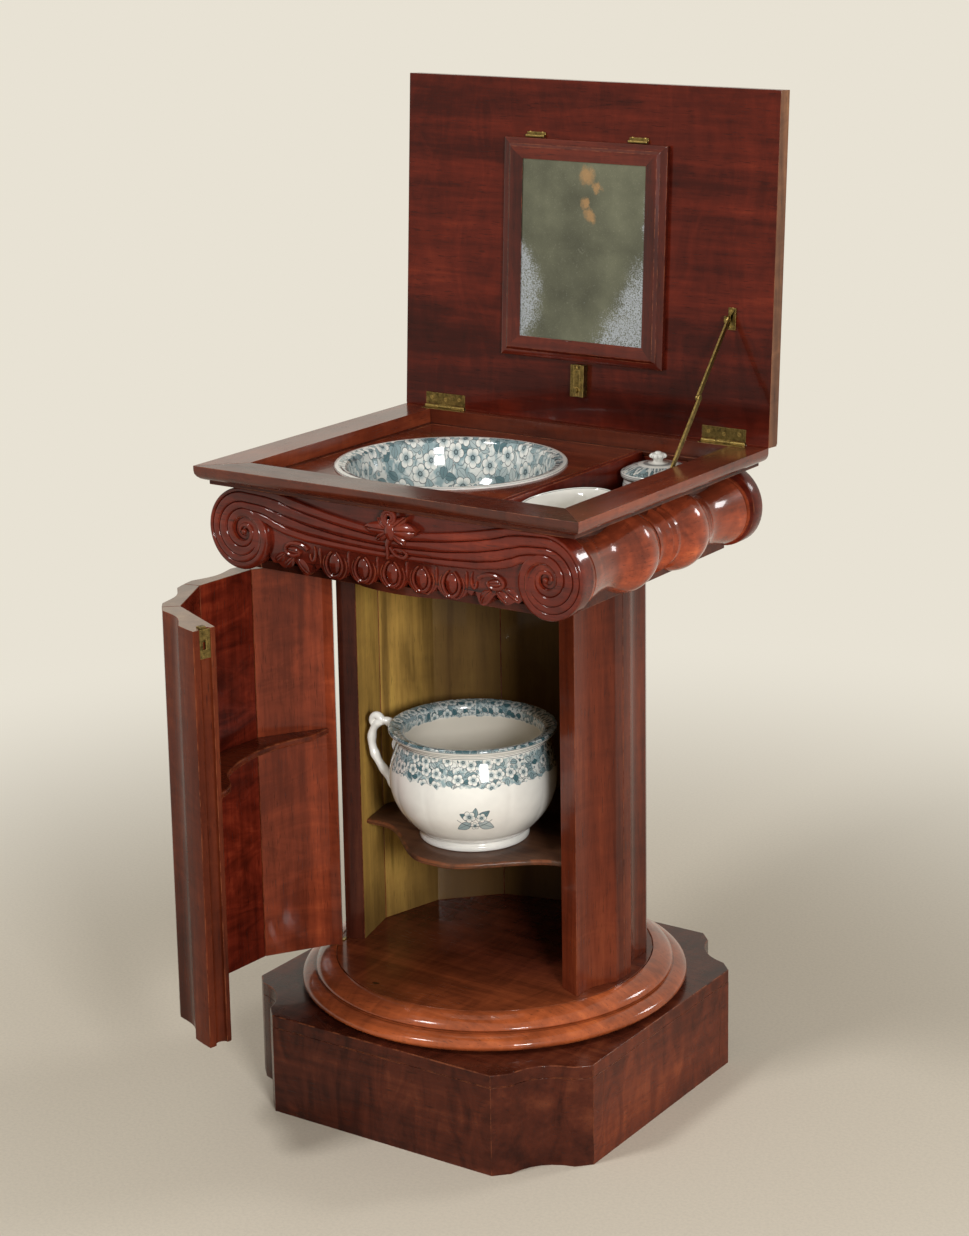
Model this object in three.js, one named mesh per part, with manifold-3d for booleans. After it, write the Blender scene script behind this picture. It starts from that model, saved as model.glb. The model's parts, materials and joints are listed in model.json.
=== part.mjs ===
// Pedestal washstand in the form of a short fluted column with a scrolled capital.
// Millimetres, +Z up. The origin is on the floor under the column's axis, the carved
// front faces -Y. The lid and the cupboard door are shown open, as in use.
import * as THREE from 'three';
import { mergeVertices } from 'three/addons/utils/BufferGeometryUtils.js';
import Module from 'manifold-3d';

const wasm = await Module();
wasm.setup();

// Driving dimensions: clearances
const gap = 0.3;
const seam = 0.3;
const overrun = 6;
const mergeTolerance = 1e-4;

// Driving dimensions: the top frame
const topWidth = 540;
const topDepth = 428;
const topHeight = 790;
const topBack = 207.5;
const railWidth = 48;
const backRailWidth = 14;
const railThickness = 18;
const railFillet = 6;
const railCoveInset = 13;
const abacusThickness = 5.5;
const abacusLap = 9;

// Driving dimensions: the case inside the capital
const caseHeight = 102.5;
const caseBottomThickness = 10;
const caseSideThickness = 16;
const basinBoardThickness = 12;
const friezeThickness = 22;
const friezeSetback = 7;
const friezeRelief = 6.5;
const compartmentWidth = 124;
const dividerThickness = 8;
const compartmentDepth = 77;
const compartmentFloorThickness = 8;

// Driving dimensions: the scrolls, the band between them and the eggs
const voluteInset = 43.5;
const voluteRise = 54;
const voluteGroove = 2.4;
const voluteQuarterSteps = 4;
const bandSag = 25.5;
const bandSpringInset = 50.5;
const bandDepth = 33;
const bandEndRise = 15;
const bandEndInset = 29.5;
const eggCount = 5;
const eggHeight = 28;
const eggRelief = 5;
const flowerHeight = 44;
const flowerWidth = 46;
const flowerRelief = 6;

// Driving dimensions: the split turnings at the sides of the capital
const bolsterRadius = 50;
const bolsterWaist = 185.5;

// Driving dimensions: the fluted column
const columnRadius = 190;
const staveThickness = 27;
const columnFoot = 163;
const flutePitch = 30;
const fluteWidth = 20;
const fluteDepth = 10;
const fluteSteps = 6;
const stileThickness = 33;
const lockStileThickness = 30;

// Driving dimensions: the door and its pivots
const doorHingeAngle = -155;
const doorLockAngle = -25;
const doorOpening = 79;
const doorHeadroom = 3.5;
const doorFootroom = 1.7;
const doorPivotProud = 1;
const doorHingeClearance = 2.5;
const stileHingeClearance = 0.5;
const doorLockClearance = 0.75;
const doorShelfTop = 450;
const doorShelfThickness = 8;
const pivotRadius = 2;
const pivotDepth = 4;
const pivotPlateLength = 22;
const pivotPlateWidth = 9;
const pivotEyeRadius = 2.7;

// Driving dimensions: the cupboard shelf
const shelfTop = 318;
const shelfThickness = 7;
const shelfCornerAngle = 19.5;
const shelfBulge = 78;
const shelfBulgeHalf = 25;
const shelfShoulder = 105;

// Driving dimensions: the base
const plinthWidth = 491;
const plinthHeight = 126;
const plinthTopThickness = 16;
const plinthBottomThickness = 12;
const plinthBoardThickness = 20;
const plinthCornerLeg = 86;
const plinthCornerFillet = 23;
const plinthScoopDepth = 12;
const plinthCornerThickness = 30;
const lowerTorusRadius = 240;
const lowerTorusHeight = 20.6;
const upperTorusRadius = 222;
const torusInnerRadius = 140;
const floorRadius = 197;
const floorThickness = 10;

// Driving dimensions: the lid and its looking glass
const lidThickness = 22;
const lidOpening = 93.19;
const lidClearance = 0.6;
const lidHingeSetback = 1;
const mirrorWidth = 238;
const mirrorHeight = 275;
const mirrorShift = 2;
const mirrorStart = 80;
const mirrorThickness = 13;
const mirrorStile = 29;
const mirrorRail = 26;
const glassThickness = 3;
const mirrorBackThickness = 4;
const mirrorPivotGap = 2.6;
const mirrorPivotHeight = 4;

// Driving dimensions: hinges, catches and the folding stay
const hingeLength = 61;
const hingeInset = 32;
const hingeLeafWidth = 18;
const hingeFixedLeafWidth = 12;
const hingeLeafThickness = 2;
const knuckleRadius = 3;
const hingePinRadius = 1.2;
const hingeBoreRadius = 1.7;
const mirrorHingeLength = 27;
const mirrorHingeReach = 75;
const mirrorKnuckleRadius = 2;
const mirrorLeafWidth = 5;
const plateThickness = 1.5;
const mirrorCatchStart = 36;
const mirrorCatchLength = 40;
const mirrorCatchWidth = 19;
const mirrorBoltWidth = 8;
const mirrorBoltThickness = 2;
const mirrorBoltLength = 34;
const mirrorKnobHeight = 5;
const mirrorKnobRadius = 3.5;
const stayLidPlace = 152;
const stayLidHeight = 9;
const stayRailPivot = 63.5;
const stayRailDrop = 8.4;
const stayThickness = 2.2;
const stayWidth = 8;
const stayBracketLength = 27;
const stayBracketWidth = 14;
const stayLidLugSetback = 12.2;
const stayPinRadius = 1.6;
const stayUpperSetback = 9;
const stayLowerSetback = 6.2;
const stayRailSetback = 3.7;
const catchPlateWidth = 16;
const catchPlateHeight = 34;
const catchBoltWidth = 8;
const catchBoltRise = 2.6;
const catchBoltLength = 18;

// Driving dimensions: the crockery
const basinMargin = 10;
const basinDepth = 98;
const basinRimThickness = 3;
const basinLeftShift = 6;
const basinBackShift = -0.5;
const basinHoleClearance = 0.6;
const jarRadius = 45.5;
const jarHeight = 62;
const jarLidHeight = 29.7;
const jarBackGap = 1.7;
const dishWidth = 95;
const dishLength = 150;
const dishHeight = 73;
const dishFrontGap = 38.2;
const potRimRadius = 103.5;
const potHeight = 141;
const potCentreX = -10;
const potCentreY = -25;
const potHandleReach = 138;
const potHandleRadius = 6;
const potHandleAngle = -165;

// Places that follow from the sizes above
const topFront = topBack - topDepth;
const topHalf = topWidth / 2;
const railBottom = topHeight - railThickness;
const railInner = topHalf - railWidth;
const frontRailInner = topFront + railWidth;
const backRailInner = topBack - backRailWidth;
const abacusHalf = topHalf - railCoveInset;
const caseSideOuter = railInner;
const abacusInner = caseSideOuter - abacusLap;
const dividerPlace = railInner - compartmentWidth;
const voluteReach = abacusHalf - voluteInset;
const bandSpring = voluteReach - bandSpringInset;
const bandEnd = voluteReach - bandEndInset;
const hingePlace = topHalf - hingeInset - hingeLength;
const stayLidLug = railInner - stayLidLugSetback;
const stayUpperPlace = railInner - stayUpperSetback;
const stayLowerPlace = railInner - stayLowerSetback;
const stayRailPlace = railInner - stayRailSetback;
const abacusFront = topFront + railCoveInset;
const abacusBottom = railBottom - abacusThickness;
const caseBottom = abacusBottom - caseHeight;
const caseFloor = caseBottom + caseBottomThickness;
const caseSideInner = caseSideOuter - caseSideThickness;
const basinBoardBottom = railBottom - basinBoardThickness;
const friezeFace = abacusFront + friezeSetback;
const friezeInner = friezeFace + friezeThickness;
const friezeBackInner = topBack - friezeThickness;
const caseFront = friezeInner + gap;
const caseBack = friezeBackInner - gap;
const dividerRight = dividerPlace + dividerThickness;
const basinAcrossRoom = caseSideInner + dividerPlace;
const basinDeepRoom = backRailInner - frontRailInner;
const basinRadius = Math.min(basinAcrossRoom, basinDeepRoom) / 2 - basinMargin;
const basinCentreX = dividerPlace - basinAcrossRoom / 2 - basinLeftShift;
const basinCentreY = frontRailInner + basinDeepRoom / 2 + basinBackShift;
const compartmentCentre = (dividerRight + caseSideInner) / 2;
const jarCentreX = compartmentCentre;
const jarCentreY = caseBack - jarBackGap - jarRadius;
const dishCentreX = compartmentCentre;
const dishCentreY = caseFront + dishFrontGap + dishLength / 2;
const compartmentFloorTop = railBottom - compartmentDepth;
const columnApothem = columnRadius - staveThickness;
const doorBottom = columnFoot + doorFootroom;
const doorTop = caseBottom - doorHeadroom;
const doorPivotRadius = columnRadius + doorPivotProud;
const plinthHalf = plinthWidth / 2;
const upperTorusFoot = plinthHeight + lowerTorusHeight;
const lidAxisY = topBack;
const lidAxisZ = topHeight + lidClearance;

// Angles and points
const degrees = Math.PI / 180;
const fullTurn = 360;
const halfTurn = 180;

function polar(radius, angle) {
  return [radius * Math.cos(angle * degrees), radius * Math.sin(angle * degrees)];
}

// The same outline seen in a looking glass at x = 0, in the opposite order
function mirrored(points) {
  return points.map(([x, y]) => [-x, y]).reverse();
}

// Solids: every piece becomes a closed solid whose faces point outwards
function solidOf(geometry) {
  const bare = new THREE.BufferGeometry();
  bare.setAttribute('position', geometry.getAttribute('position'));
  if (geometry.index) bare.setIndex(geometry.index);
  const merged = mergeVertices(bare, mergeTolerance);
  const place = merged.getAttribute('position').array;
  const index = merged.index.array;
  const triangles = [];
  for (let i = 0; i < index.length; i += 3) {
    const [a, b, c] = [index[i], index[i + 1], index[i + 2]];
    if (a !== b && b !== c && c !== a) triangles.push([a, b, c]);
  }
  const corner = (n) => new THREE.Vector3(place[3 * n], place[3 * n + 1], place[3 * n + 2]);
  let volume = 0;
  for (const [a, b, c] of triangles) volume += corner(a).cross(corner(b)).dot(corner(c));
  const facing = volume < 0 ? triangles.map(([a, b, c]) => [a, c, b]) : triangles;
  return new wasm.Manifold(new wasm.Mesh({
    numProp: 3,
    vertProperties: new Float32Array(place),
    triVerts: new Uint32Array(facing.flat()),
  }));
}

function geometryOf(solid) {
  const mesh = solid.getMesh();
  const geometry = new THREE.BufferGeometry();
  geometry.setAttribute('position', new THREE.BufferAttribute(mesh.vertProperties, mesh.numProp));
  geometry.setIndex(new THREE.BufferAttribute(mesh.triVerts, 1));
  geometry.computeVertexNormals();
  return geometry;
}

function join(...solids) {
  return solids.reduce((whole, solid) => whole.add(solid));
}

function cut(solid, ...tools) {
  return tools.reduce((rest, tool) => rest.subtract(tool), solid);
}

// A box between two corners
function box(low, high) {
  const size = high.map((value, i) => value - low[i]);
  const middle = high.map((value, i) => (value + low[i]) / 2);
  return solidOf(new THREE.BoxGeometry(...size).translate(...middle));
}

function extruded(points, length) {
  const shape = new THREE.Shape(points.map(([x, y]) => new THREE.Vector2(x, y)));
  return new THREE.ExtrudeGeometry(shape, { depth: length, bevelEnabled: false });
}

// An outline in x and y, carried from a low z to a high z
function prismZ(points, low, high) {
  return solidOf(extruded(points, high - low).translate(0, 0, low));
}

// An outline in y and z, carried from a low x to a high x
function prismX(points, low, high) {
  const turn = new THREE.Matrix4().makeBasis(
    new THREE.Vector3(0, 1, 0), new THREE.Vector3(0, 0, 1), new THREE.Vector3(1, 0, 0));
  return solidOf(extruded(points, high - low).applyMatrix4(turn).translate(low, 0, 0));
}

// An outline in x and z, carried from a low y to a high y
function prismY(points, low, high) {
  const turn = new THREE.Matrix4().makeBasis(
    new THREE.Vector3(1, 0, 0), new THREE.Vector3(0, 0, 1), new THREE.Vector3(0, -1, 0));
  return solidOf(extruded(points, high - low).applyMatrix4(turn).translate(0, high, 0));
}

// A round bar from one point to another
function rod(from, to, radius, sides) {
  const start = new THREE.Vector3(...from);
  const end = new THREE.Vector3(...to);
  const along = end.clone().sub(start);
  const geometry = new THREE.CylinderGeometry(radius, radius, along.length(), sides);
  const turn = new THREE.Quaternion().setFromUnitVectors(
    new THREE.Vector3(0, 1, 0), along.clone().normalize());
  const middle = start.add(end).multiplyScalar(0.5);
  return solidOf(geometry.applyQuaternion(turn).translate(middle.x, middle.y, middle.z));
}

// A profile of radius and height, turned about a vertical axis
function turnedGeometry(profile, sides) {
  const points = profile.map(([radius, height]) => new THREE.Vector2(radius, height));
  return new THREE.LatheGeometry(points, sides).rotateX(Math.PI / 2);
}

// Profile shares of a radius and a height become sizes
function sized(shares, radius, height, foot = 0) {
  return shares.map(([r, z]) => [r * radius, foot + z * height]);
}

function ball(centre, halfSizes, sides, rings) {
  const geometry = new THREE.SphereGeometry(1, sides, rings);
  return solidOf(geometry.scale(...halfSizes).translate(...centre));
}

// Finishes
const finishes = {
  mahogany: { color: 0x6b2418, roughness: 0.28, metalness: 0 },
  oiledMahogany: { color: 0x8a4526, roughness: 0.3, metalness: 0 },
  innerMahogany: { color: 0x5a2116, roughness: 0.45, metalness: 0 },
  brass: { color: 0x9a8240, roughness: 0.35, metalness: 0.9 },
  ceramic: { color: 0xe8e6dc, roughness: 0.15, metalness: 0 },
  glass: { color: 0x7c8578, roughness: 0.2, metalness: 0.6 },
  deal: { color: 0x9a7a42, roughness: 0.6, metalness: 0 },
};

const washstand = new THREE.Group();
washstand.name = 'pedestal_washstand';

function add(parent, name, solid, finish) {
  const mesh = new THREE.Mesh(geometryOf(solid), new THREE.MeshStandardMaterial(finishes[finish]));
  mesh.name = name;
  parent.add(mesh);
  return mesh;
}

// A group whose children keep their closed places and swing about a line through a point
function swungGroup(pivot, axis, angle) {
  const outer = new THREE.Group();
  outer.position.set(...pivot);
  outer.setRotationFromAxisAngle(new THREE.Vector3(...axis), angle * degrees);
  const inner = new THREE.Group();
  inner.position.set(...pivot).negate();
  outer.add(inner);
  washstand.add(outer);
  return inner;
}

// Plinth: a square box of boards with scooped corners
const scoopSteps = 6;

function plinthCorner() {
  const fillet = plinthCornerFillet / Math.SQRT2;
  const start = [plinthHalf - plinthCornerLeg, -plinthHalf];
  const end = [plinthHalf, plinthCornerLeg - plinthHalf];
  const from = [start[0] + fillet, start[1] + fillet];
  const to = [end[0] - fillet, end[1] - fillet];
  const points = [start];
  for (let i = 0; i <= scoopSteps; i += 1) {
    const t = i / scoopSteps;
    const inward = plinthScoopDepth * 4 * t * (1 - t) / Math.SQRT2;
    points.push([from[0] + (to[0] - from[0]) * t - inward, from[1] + (to[1] - from[1]) * t + inward]);
  }
  points.push(end);
  return points;
}

const plinthInner = plinthHalf - plinthBoardThickness;
const plinthInnerDiagonal = 2 * plinthHalf - plinthCornerLeg - plinthCornerThickness * Math.SQRT2;
const plinthButt = plinthInnerDiagonal - plinthInner;

function plinthOutline() {
  const corner = plinthCorner();
  const frontHalf = [...mirrored(corner), ...corner];
  const backHalf = frontHalf.map(([x, y]) => [x, -y]).reverse();
  return [...frontHalf, ...backHalf];
}

function plinthInnerOutline(margin) {
  const side = plinthInner - margin;
  const short = plinthButt - margin;
  return [[short, -side], [side, -short], [side, short], [short, side],
    [-short, side], [-side, short], [-side, -short], [-short, -side]];
}

const plinthTopBottom = plinthHeight - plinthTopThickness;
const plinthHollow = prismZ(plinthInnerOutline(0), -overrun, plinthHeight);
const plinthBlock = prismZ(plinthOutline(), 0, plinthTopBottom);
const plinthRing = cut(plinthBlock, plinthHollow);
const endZone = (low, high) => box(
  [-topWidth, low, -overrun], [topWidth, high, plinthHeight]);
const sideZone = (low, high) => box(
  [low, -plinthButt, -overrun], [high, plinthButt, plinthHeight]);
const plinthRuns = {
  plinth_front_board: endZone(-topWidth, -plinthButt),
  plinth_back_board: endZone(plinthButt, topWidth),
  plinth_left_board: sideZone(-topWidth, 0),
  plinth_right_board: sideZone(0, topWidth),
};
for (const [name, zone] of Object.entries(plinthRuns)) {
  add(washstand, name, plinthRing.intersect(zone), 'mahogany');
}
add(washstand, 'plinth_bottom_board', prismZ(plinthInnerOutline(gap), 0, plinthBottomThickness), 'deal');
add(washstand, 'plinth_top_board', prismZ(plinthOutline(), plinthTopBottom, plinthHeight), 'mahogany');

// Base mouldings and the cupboard floor
const baseSides = 48;
const lowerTorusShares = [[0, 0], [0.9, 0], [0.955, 0.06], [0.988, 0.22], [1, 0.45], [0.988, 0.72],
  [0.955, 0.93], [0.92, 1], [0, 1]];
const upperTorusShares = [[1, 0], [1.003, 0.16], [0.993, 0.42], [0.968, 0.7], [0.93, 0.9]];

function baseRing(shares, outer, foot, height) {
  const profile = sized(shares.slice(1, -1), outer, height, foot);
  const closed = [[torusInnerRadius, foot], ...profile, [torusInnerRadius, foot + height],
    [torusInnerRadius, foot]];
  return solidOf(turnedGeometry(closed, baseSides));
}

add(washstand, 'base_lower_torus',
  baseRing(lowerTorusShares, lowerTorusRadius, plinthHeight, lowerTorusHeight), 'oiledMahogany');

const floorUnderside = columnFoot - floorThickness;
const upperTorusHeight = columnFoot - upperTorusFoot;
const upperTorusProfile = [
  [torusInnerRadius, upperTorusFoot],
  ...sized(upperTorusShares, upperTorusRadius, upperTorusHeight, upperTorusFoot),
  [floorRadius + gap, columnFoot],
  [floorRadius + gap, floorUnderside],
  [torusInnerRadius, floorUnderside],
  [torusInnerRadius, upperTorusFoot],
];
add(washstand, 'base_upper_torus', solidOf(turnedGeometry(upperTorusProfile, baseSides)), 'oiledMahogany');

const doorPivot = polar(doorPivotRadius, doorHingeAngle);
const pivotBoreRadius = pivotRadius + 2 * gap;
const pivotSides = 10;

function pivotBore(low, high) {
  return rod([...doorPivot, low], [...doorPivot, high], pivotBoreRadius, pivotSides);
}

const floorDisc = solidOf(turnedGeometry(
  [[0, floorUnderside], [floorRadius, floorUnderside], [floorRadius, columnFoot], [0, columnFoot]], baseSides));
add(washstand, 'cupboard_floor',
  cut(floorDisc, pivotBore(columnFoot - pivotDepth - gap, columnFoot + overrun)), 'oiledMahogany');

// Column: fluted staves round a twelve-sided hollow
function withinPitch(angle) {
  return ((angle % flutePitch) + flutePitch) % flutePitch;
}

function outerRadius(angle) {
  const across = (withinPitch(angle) - flutePitch / 2) / (fluteWidth / 2);
  const inFlute = Math.abs(across) < 1;
  return columnRadius - (inFlute ? fluteDepth * Math.cos(across * Math.PI / 2) : 0);
}

function facetRadius(angle) {
  return columnApothem / Math.cos((withinPitch(angle) - flutePitch / 2) * degrees);
}

// Radius at an angle on the straight line between two polar points
function chordRadius(angle, startAngle, startRadius, endAngle, endRadius) {
  const whole = startRadius * endRadius * Math.sin((endAngle - startAngle) * degrees);
  const toEnd = endRadius * Math.sin((endAngle - angle) * degrees);
  const toStart = startRadius * Math.sin((angle - startAngle) * degrees);
  return whole / (toEnd + toStart);
}

function outerStops(low, high) {
  const stops = [];
  const firstPitch = Math.floor(low / flutePitch);
  const lastPitch = Math.ceil(high / flutePitch);
  const fillet = (flutePitch - fluteWidth) / 2;
  for (let pitch = firstPitch; pitch <= lastPitch; pitch += 1) {
    stops.push(pitch * flutePitch);
    for (let i = 0; i <= fluteSteps; i += 1) {
      stops.push(pitch * flutePitch + fillet + fluteWidth * i / fluteSteps);
    }
  }
  return stops.filter((stop) => stop > low && stop < high);
}

function innerStops(low, high) {
  const stops = [];
  for (let stop = Math.ceil(high / flutePitch) * flutePitch; stop > low; stop -= flutePitch) {
    if (stop < high) stops.push(stop);
  }
  return stops;
}

// A point at a radius, moved square off the radial line at an angle by a clearance
function offEdge(radius, angle, clearance) {
  return polar(radius, angle + Math.asin(clearance / radius) / degrees);
}

// The section of a stave between two angles. Its edges stand off the radial lines by
// their clearances, and an edge radius, where given, thickens that edge inwards.
function staveOutline({ low, high, lowClear, highClear, lowEdge, highEdge }) {
  const points = [offEdge(outerRadius(low), low, lowClear)];
  for (const stop of outerStops(low, high)) points.push(polar(outerRadius(stop), stop));
  points.push(offEdge(outerRadius(high), high, -highClear));
  points.push(offEdge(highEdge ?? facetRadius(high), high, -highClear));
  if (!lowEdge && !highEdge) {
    for (const stop of innerStops(low, high)) points.push(polar(facetRadius(stop), stop));
  }
  points.push(offEdge(lowEdge ?? facetRadius(low), low, lowClear));
  return points;
}

const seamShare = 0.5;
const halfSeam = seam * seamShare;
const stileEdge = columnRadius - stileThickness;
const carcassStaves = {
  right_stile_stave: {
    low: doorLockAngle, high: 0, lowClear: doorLockClearance, highClear: halfSeam, lowEdge: stileEdge,
  },
  right_back_stave: { low: 0, high: 2 * flutePitch, lowClear: halfSeam, highClear: halfSeam },
  middle_back_stave: {
    low: 2 * flutePitch, high: 4 * flutePitch, lowClear: halfSeam, highClear: halfSeam,
  },
  left_back_stave: { low: 4 * flutePitch, high: halfTurn, lowClear: halfSeam, highClear: halfSeam },
  left_stile_stave: {
    low: halfTurn, high: fullTurn + doorHingeAngle, lowClear: halfSeam, highClear: stileHingeClearance,
  },
};
// Room beside the stile for the eyes of the door's pivots, above and below the door
const pivotEyeRoom = [[columnFoot - overrun, doorBottom + gap], [doorTop - gap, caseBottom + overrun]]
  .map(([low, high]) => rod([...doorPivot, low], [...doorPivot, high], pivotEyeRadius + 2 * gap, pivotSides));
for (const [name, stave] of Object.entries(carcassStaves)) {
  const plain = prismZ(staveOutline(stave), columnFoot, caseBottom);
  add(washstand, name, name === 'left_stile_stave' ? cut(plain, ...pivotEyeRoom) : plain, 'mahogany');
}

// Cupboard shelf with a serpentine front, let in between the staves
const shelfFrontSteps = 8;

function cupboardShelfOutline() {
  const rightEdge = chordRadius(-shelfCornerAngle, doorLockAngle, stileEdge, 0, facetRadius(0));
  const leftEdge = facetRadius(halfTurn + shelfCornerAngle);
  const right = polar(rightEdge - gap / Math.cos(flutePitch * degrees), -shelfCornerAngle);
  const left = polar(leftEdge - gap, halfTurn + shelfCornerAngle);
  const wall = innerStops(-1, halfTurn + 1).reverse().map((stop) => polar(facetRadius(stop) - gap, stop));
  const front = [];
  for (let i = 0; i <= shelfFrontSteps; i += 1) {
    const t = i / shelfFrontSteps;
    const x = -shelfShoulder + (shelfShoulder - shelfBulgeHalf) * t;
    const ease = t * t * (3 - 2 * t);
    front.push([x, right[1] - shelfBulge * ease]);
  }
  return [right, ...wall, left, [-shelfShoulder, right[1]], ...front.slice(1), ...mirrored(front)];
}

add(washstand, 'cupboard_shelf',
  prismZ(cupboardShelfOutline(), shelfTop - shelfThickness, shelfTop), 'innerMahogany');

// Door: four staves, a shelf, two pivots and a catch, swung open about its pivots
const door = swungGroup([...doorPivot, 0], [0, 0, 1], -doorOpening);
const lockEdge = columnRadius - lockStileThickness;
const doorStaves = {
  door_hinge_stave: {
    low: doorHingeAngle, high: -4 * flutePitch, lowClear: doorHingeClearance, highClear: halfSeam,
  },
  door_left_stave: { low: -4 * flutePitch, high: -3 * flutePitch, lowClear: halfSeam, highClear: halfSeam },
  door_right_stave: { low: -3 * flutePitch, high: -2 * flutePitch, lowClear: halfSeam, highClear: halfSeam },
  door_lock_stave: {
    low: -2 * flutePitch, high: doorLockAngle, lowClear: halfSeam, highClear: doorLockClearance, highEdge: lockEdge,
  },
};

const catchRadius = (columnRadius + lockEdge) / 2;
const catchPlace = offEdge(catchRadius, doorLockAngle, -doorLockClearance);
const catchTurn = doorLockAngle;

// A box on the door's lock edge, sized across the edge, into the door and up
function lockEdgeBox(halfAcross, inFrom, inTo, low, high) {
  const along = polar(1, catchTurn);
  const into = polar(1, catchTurn - 90);
  const at = (across, inward) => [
    catchPlace[0] + along[0] * across + into[0] * inward,
    catchPlace[1] + along[1] * across + into[1] * inward,
  ];
  return prismZ([at(-halfAcross, inFrom), at(-halfAcross, inTo), at(halfAcross, inTo), at(halfAcross, inFrom)],
    low, high);
}

const catchBoltRoom = lockEdgeBox(catchBoltWidth / 2 + gap, plateThickness + gap,
  plateThickness + catchBoltWidth + 2 * gap, doorTop - catchPlateHeight, doorTop + overrun);
const catchPlateRoom = lockEdgeBox(catchPlateWidth / 2 + gap, -overrun, plateThickness + 2 * gap,
  doorTop - catchPlateHeight - gap, doorTop + overrun);

for (const [name, stave] of Object.entries(doorStaves)) {
  const plain = prismZ(staveOutline(stave), doorBottom, doorTop);
  const isLock = name === 'door_lock_stave';
  const shaped = isLock ? cut(plain, catchBoltRoom, catchPlateRoom) : plain;
  add(door, name, shaped, 'mahogany');
}

// The shelf's front line, from the hinge side to the lock side, as shares of the column's radius
const doorShelfFrontShares = [[-0.6, -0.455], [-0.45, -0.55], [-0.3, -0.615], [-0.15, -0.648], [0, -0.65],
  [0.13, -0.637], [0.25, -0.6], [0.34, -0.535], [0.43, -0.487], [0.55, -0.475]];
const doorShelfLeftAngle = -151;
const doorShelfRightAngle = -33;

function doorShelfOutline() {
  const lockStart = -2 * flutePitch;
  const lockLine = (angle) => chordRadius(angle, lockStart, facetRadius(lockStart), doorLockAngle, lockEdge);
  const wallAngles = [doorShelfLeftAngle, -5 * flutePitch, -4 * flutePitch, -3 * flutePitch];
  const wall = wallAngles.map((angle) => polar(facetRadius(angle) - gap, angle));
  wall.push(polar(lockLine(lockStart) - gap, lockStart));
  wall.push(polar(lockLine(doorShelfRightAngle) - 2 * gap, doorShelfRightAngle));
  const front = doorShelfFrontShares.map(([x, y]) => [x * columnRadius, y * columnRadius]);
  return [...wall, ...front.reverse()];
}

add(door, 'door_shelf',
  prismZ(doorShelfOutline(), doorShelfTop - doorShelfThickness, doorShelfTop), 'mahogany');

// A pivot: a strap under or over the door's hinge stave with a pin in the fixed work
function doorPivotSolid(strapLow, strapHigh, pinEnd) {
  const inward = polar(1, doorHingeAngle + 90);
  const back = polar(1, doorHingeAngle + halfTurn);
  const half = pivotPlateWidth / 2;
  const at = (across, along) => [
    doorPivot[0] + back[0] * (across + half - pivotRadius) + inward[0] * along,
    doorPivot[1] + back[1] * (across + half - pivotRadius) + inward[1] * along,
  ];
  const strap = prismZ([at(-half, 0), at(-half, pivotPlateLength), at(half, pivotPlateLength),
    at(half, 0)].reverse(), strapLow, strapHigh);
  const eye = rod([...doorPivot, strapLow], [...doorPivot, strapHigh], pivotEyeRadius, pivotSides);
  const root = (strapLow + strapHigh) / 2;
  const pin = rod([...doorPivot, Math.min(root, pinEnd)], [...doorPivot, Math.max(root, pinEnd)],
    pivotRadius, pivotSides);
  return join(strap, eye, pin);
}

add(door, 'door_pivot_top',
  doorPivotSolid(doorTop + gap, caseBottom - 2 * gap, caseBottom + pivotDepth), 'brass');
add(door, 'door_pivot_bottom',
  doorPivotSolid(columnFoot + gap, doorBottom - gap, columnFoot - pivotDepth), 'brass');

const catchPlate = cut(
  lockEdgeBox(catchPlateWidth / 2, gap / 2, plateThickness, doorTop - catchPlateHeight, doorTop - gap),
  lockEdgeBox(catchBoltWidth / 4, -overrun, overrun, doorTop - catchPlateHeight * 0.7,
    doorTop - catchPlateHeight * 0.35));
add(door, 'door_catch_plate', catchPlate, 'brass');
add(door, 'door_catch_bolt',
  lockEdgeBox(catchBoltWidth / 2, plateThickness + 2 * gap, plateThickness + catchBoltWidth,
    doorTop + catchBoltRise - catchBoltLength, doorTop + catchBoltRise), 'brass');

// Case: the box inside the capital
const caseBottomSides = 48;
const caseSquare = box([-caseSideInner + gap, caseFront, caseBottom], [caseSideInner - gap, caseBack, caseFloor]);
const caseDisc = solidOf(turnedGeometry(
  [[0, caseBottom], [columnRadius, caseBottom], [columnRadius, caseFloor], [0, caseFloor]], caseBottomSides));
const caseRound = caseDisc.intersect(box([-caseSideInner + gap, -columnRadius - overrun, caseBottom - overrun],
  [caseSideInner - gap, columnRadius + overrun, caseFloor + overrun]));
add(washstand, 'case_bottom', cut(join(caseSquare, caseRound),
  pivotBore(caseBottom - overrun, caseBottom + pivotDepth + gap)), 'innerMahogany');

function caseSideSection(side) {
  const points = [[caseSideInner, caseBottom], [caseSideOuter, caseBottom], [caseSideOuter, abacusBottom],
    [abacusInner, abacusBottom], [abacusInner, basinBoardBottom], [caseSideInner, basinBoardBottom]];
  return side > 0 ? points : mirrored(points);
}

add(washstand, 'case_left_side', cut(prismY(caseSideSection(-1), caseFront, caseBack),
  pivotBore(caseBottom - overrun, caseBottom + pivotDepth + gap)), 'innerMahogany');
add(washstand, 'case_right_side', prismY(caseSideSection(1), caseFront, caseBack), 'innerMahogany');

add(washstand, 'compartment_divider',
  box([dividerPlace, caseFront, caseFloor], [dividerRight, caseBack, railBottom]), 'mahogany');
add(washstand, 'compartment_floor',
  box([dividerRight + gap, caseFront, compartmentFloorTop - compartmentFloorThickness],
    [caseSideInner - gap, caseBack, compartmentFloorTop]), 'innerMahogany');

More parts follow.
